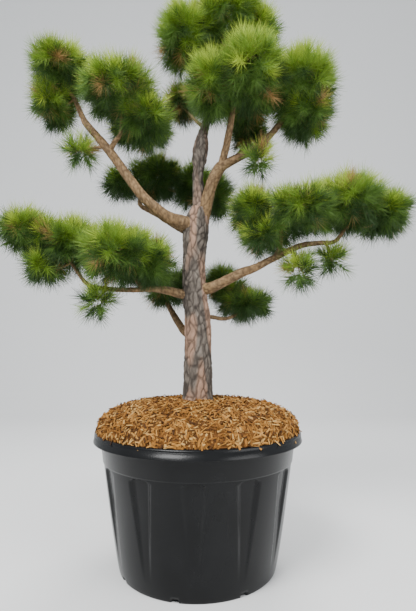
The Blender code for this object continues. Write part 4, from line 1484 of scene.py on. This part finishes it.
@dataclass(frozen=True)
class View:
    """The camera's place, its turn up from straight down, and its lens, in millimetres."""

    place: Place = (0.035, -1.625, 0.729)
    pitch: float = math.radians(95.56)
    lens: float = 26.34
    sensor: float = 36.0


@dataclass(frozen=True)
class FloorSizes:
    """Sizes of the floor and of the curve that it ends in, in metres."""

    half_width: float = 9.0
    front: float = -9.0
    bend: float = 3.2
    radius: float = 1.6
    top: float = 9.0
    drop: float = 0.0005


@dataclass(frozen=True)
class Sky:
    """The even light from all around."""

    colour: Colour = (0.86, 0.90, 0.95)
    strength: float = 0.95


class Studio:
    """Floor, lamps, sky and camera."""

    def __init__(self, lamps: Sequence[Lamp], view: View) -> None:
        """Keeps the studio's lamps and camera."""
        self.lamps = lamps
        self.view = view

    def _floor(self) -> None:
        """Lays a pale floor that curves up far behind the tree."""
        sizes = FloorSizes()
        rows = [(sizes.front, 0.0), (sizes.bend, 0.0)]
        for angle in np.linspace(0.1, math.pi / 2, 16):
            rows.append((sizes.bend + sizes.radius * math.sin(angle),
                         sizes.radius - sizes.radius * math.cos(angle)))
        rows.append((sizes.bend + sizes.radius, sizes.top))
        points = [(x, y, z - sizes.drop) for y, z in rows for x in (-sizes.half_width, sizes.half_width)]
        faces = [(2 * i, 2 * i + 1, 2 * i + 3, 2 * i + 2) for i in range(len(rows) - 1)]
        paint = PlainFinish("floor_paint", (0.80, 0.80, 0.79), 0.8, 0.2).build()
        floor = mesh_object("floor", np.array(points), np.array(faces), [paint], True)

    def _lamps(self) -> None:
        """Hangs the lamps."""
        for lamp in self.lamps:
            light = bpy.data.lights.new(lamp.name, "AREA")
            light.size = lamp.size
            light.energy = lamp.power
            made = bpy.data.objects.new(lamp.name, light)
            made.location = lamp.place
            heading = Vector(lamp.aim) - Vector(lamp.place)
            made.rotation_euler = heading.to_track_quat("-Z", "Y").to_euler()
            bpy.context.scene.collection.objects.link(made)

    def build(self) -> None:
        """Makes the studio."""
        self._floor()
        self._lamps()
        scene, sky = bpy.context.scene, Sky()
        world = bpy.data.worlds.new("studio_world")
        world.use_nodes = True
        background = world.node_tree.nodes["Background"]
        background.inputs["Color"].default_value = (*sky.colour, 1.0)
        background.inputs["Strength"].default_value = sky.strength
        scene.world = world
        camera = bpy.data.cameras.new("camera")
        camera.lens = self.view.lens
        camera.sensor_width = self.view.sensor
        made = bpy.data.objects.new("camera", camera)
        made.location = self.view.place
        made.rotation_euler = (self.view.pitch, 0.0, 0.0)
        scene.collection.objects.link(made)
        scene.camera = made


def main() -> None:
    """Builds the tree in order, from the tub to the studio."""
    logging.basicConfig(level=logging.INFO, format="%(name)s %(message)s")
    noise.seed_set(NOISE_SEED)
    Pot(PotSizes(), PlasticFinish()).build()
    RootBall(PlainFinish("substrate", (0.06, 0.04, 0.03), 0.95)).build()
    Mulch(MulchSizes(), ChipSizes(), MulchFinish()).build()
    dark = BarkFinish("plated_bark", fissure=(0.016, 0.012, 0.010), plate=(0.085, 0.070, 0.058),
                      pale=(0.200, 0.170, 0.140), flaked=(0.360, 0.225, 0.155), grain=90.0)
    tan = BarkFinish("flaky_bark", fissure=(0.050, 0.030, 0.016), plate=(0.135, 0.085, 0.044),
                     pale=(0.285, 0.190, 0.100), flaked=(0.330, 0.200, 0.090))
    twig = BarkFinish("twig_bark", fissure=(0.100, 0.060, 0.030), plate=(0.210, 0.130, 0.065),
                      pale=(0.340, 0.220, 0.110), flaked=(0.330, 0.200, 0.090))
    Limbs(dark, tan).build()
    Foliage(Growth(), Dealing(), twig).build()
    lamps = (
        Lamp("key", place=(-1.6, -2.4, 3.9), aim=(0.0, 0.0, 1.1), size=1.8, power=240.0),
        Lamp("fill", place=(2.8, -2.2, 2.0), aim=(0.0, 0.0, 0.9), size=2.2, power=80.0),
        Lamp("rim", place=(0.8, 2.2, 3.6), aim=(0.0, 0.0, 1.4), size=1.8, power=90.0),
    )
    Studio(lamps, View()).build()


if __name__ == "__main__":
    main()
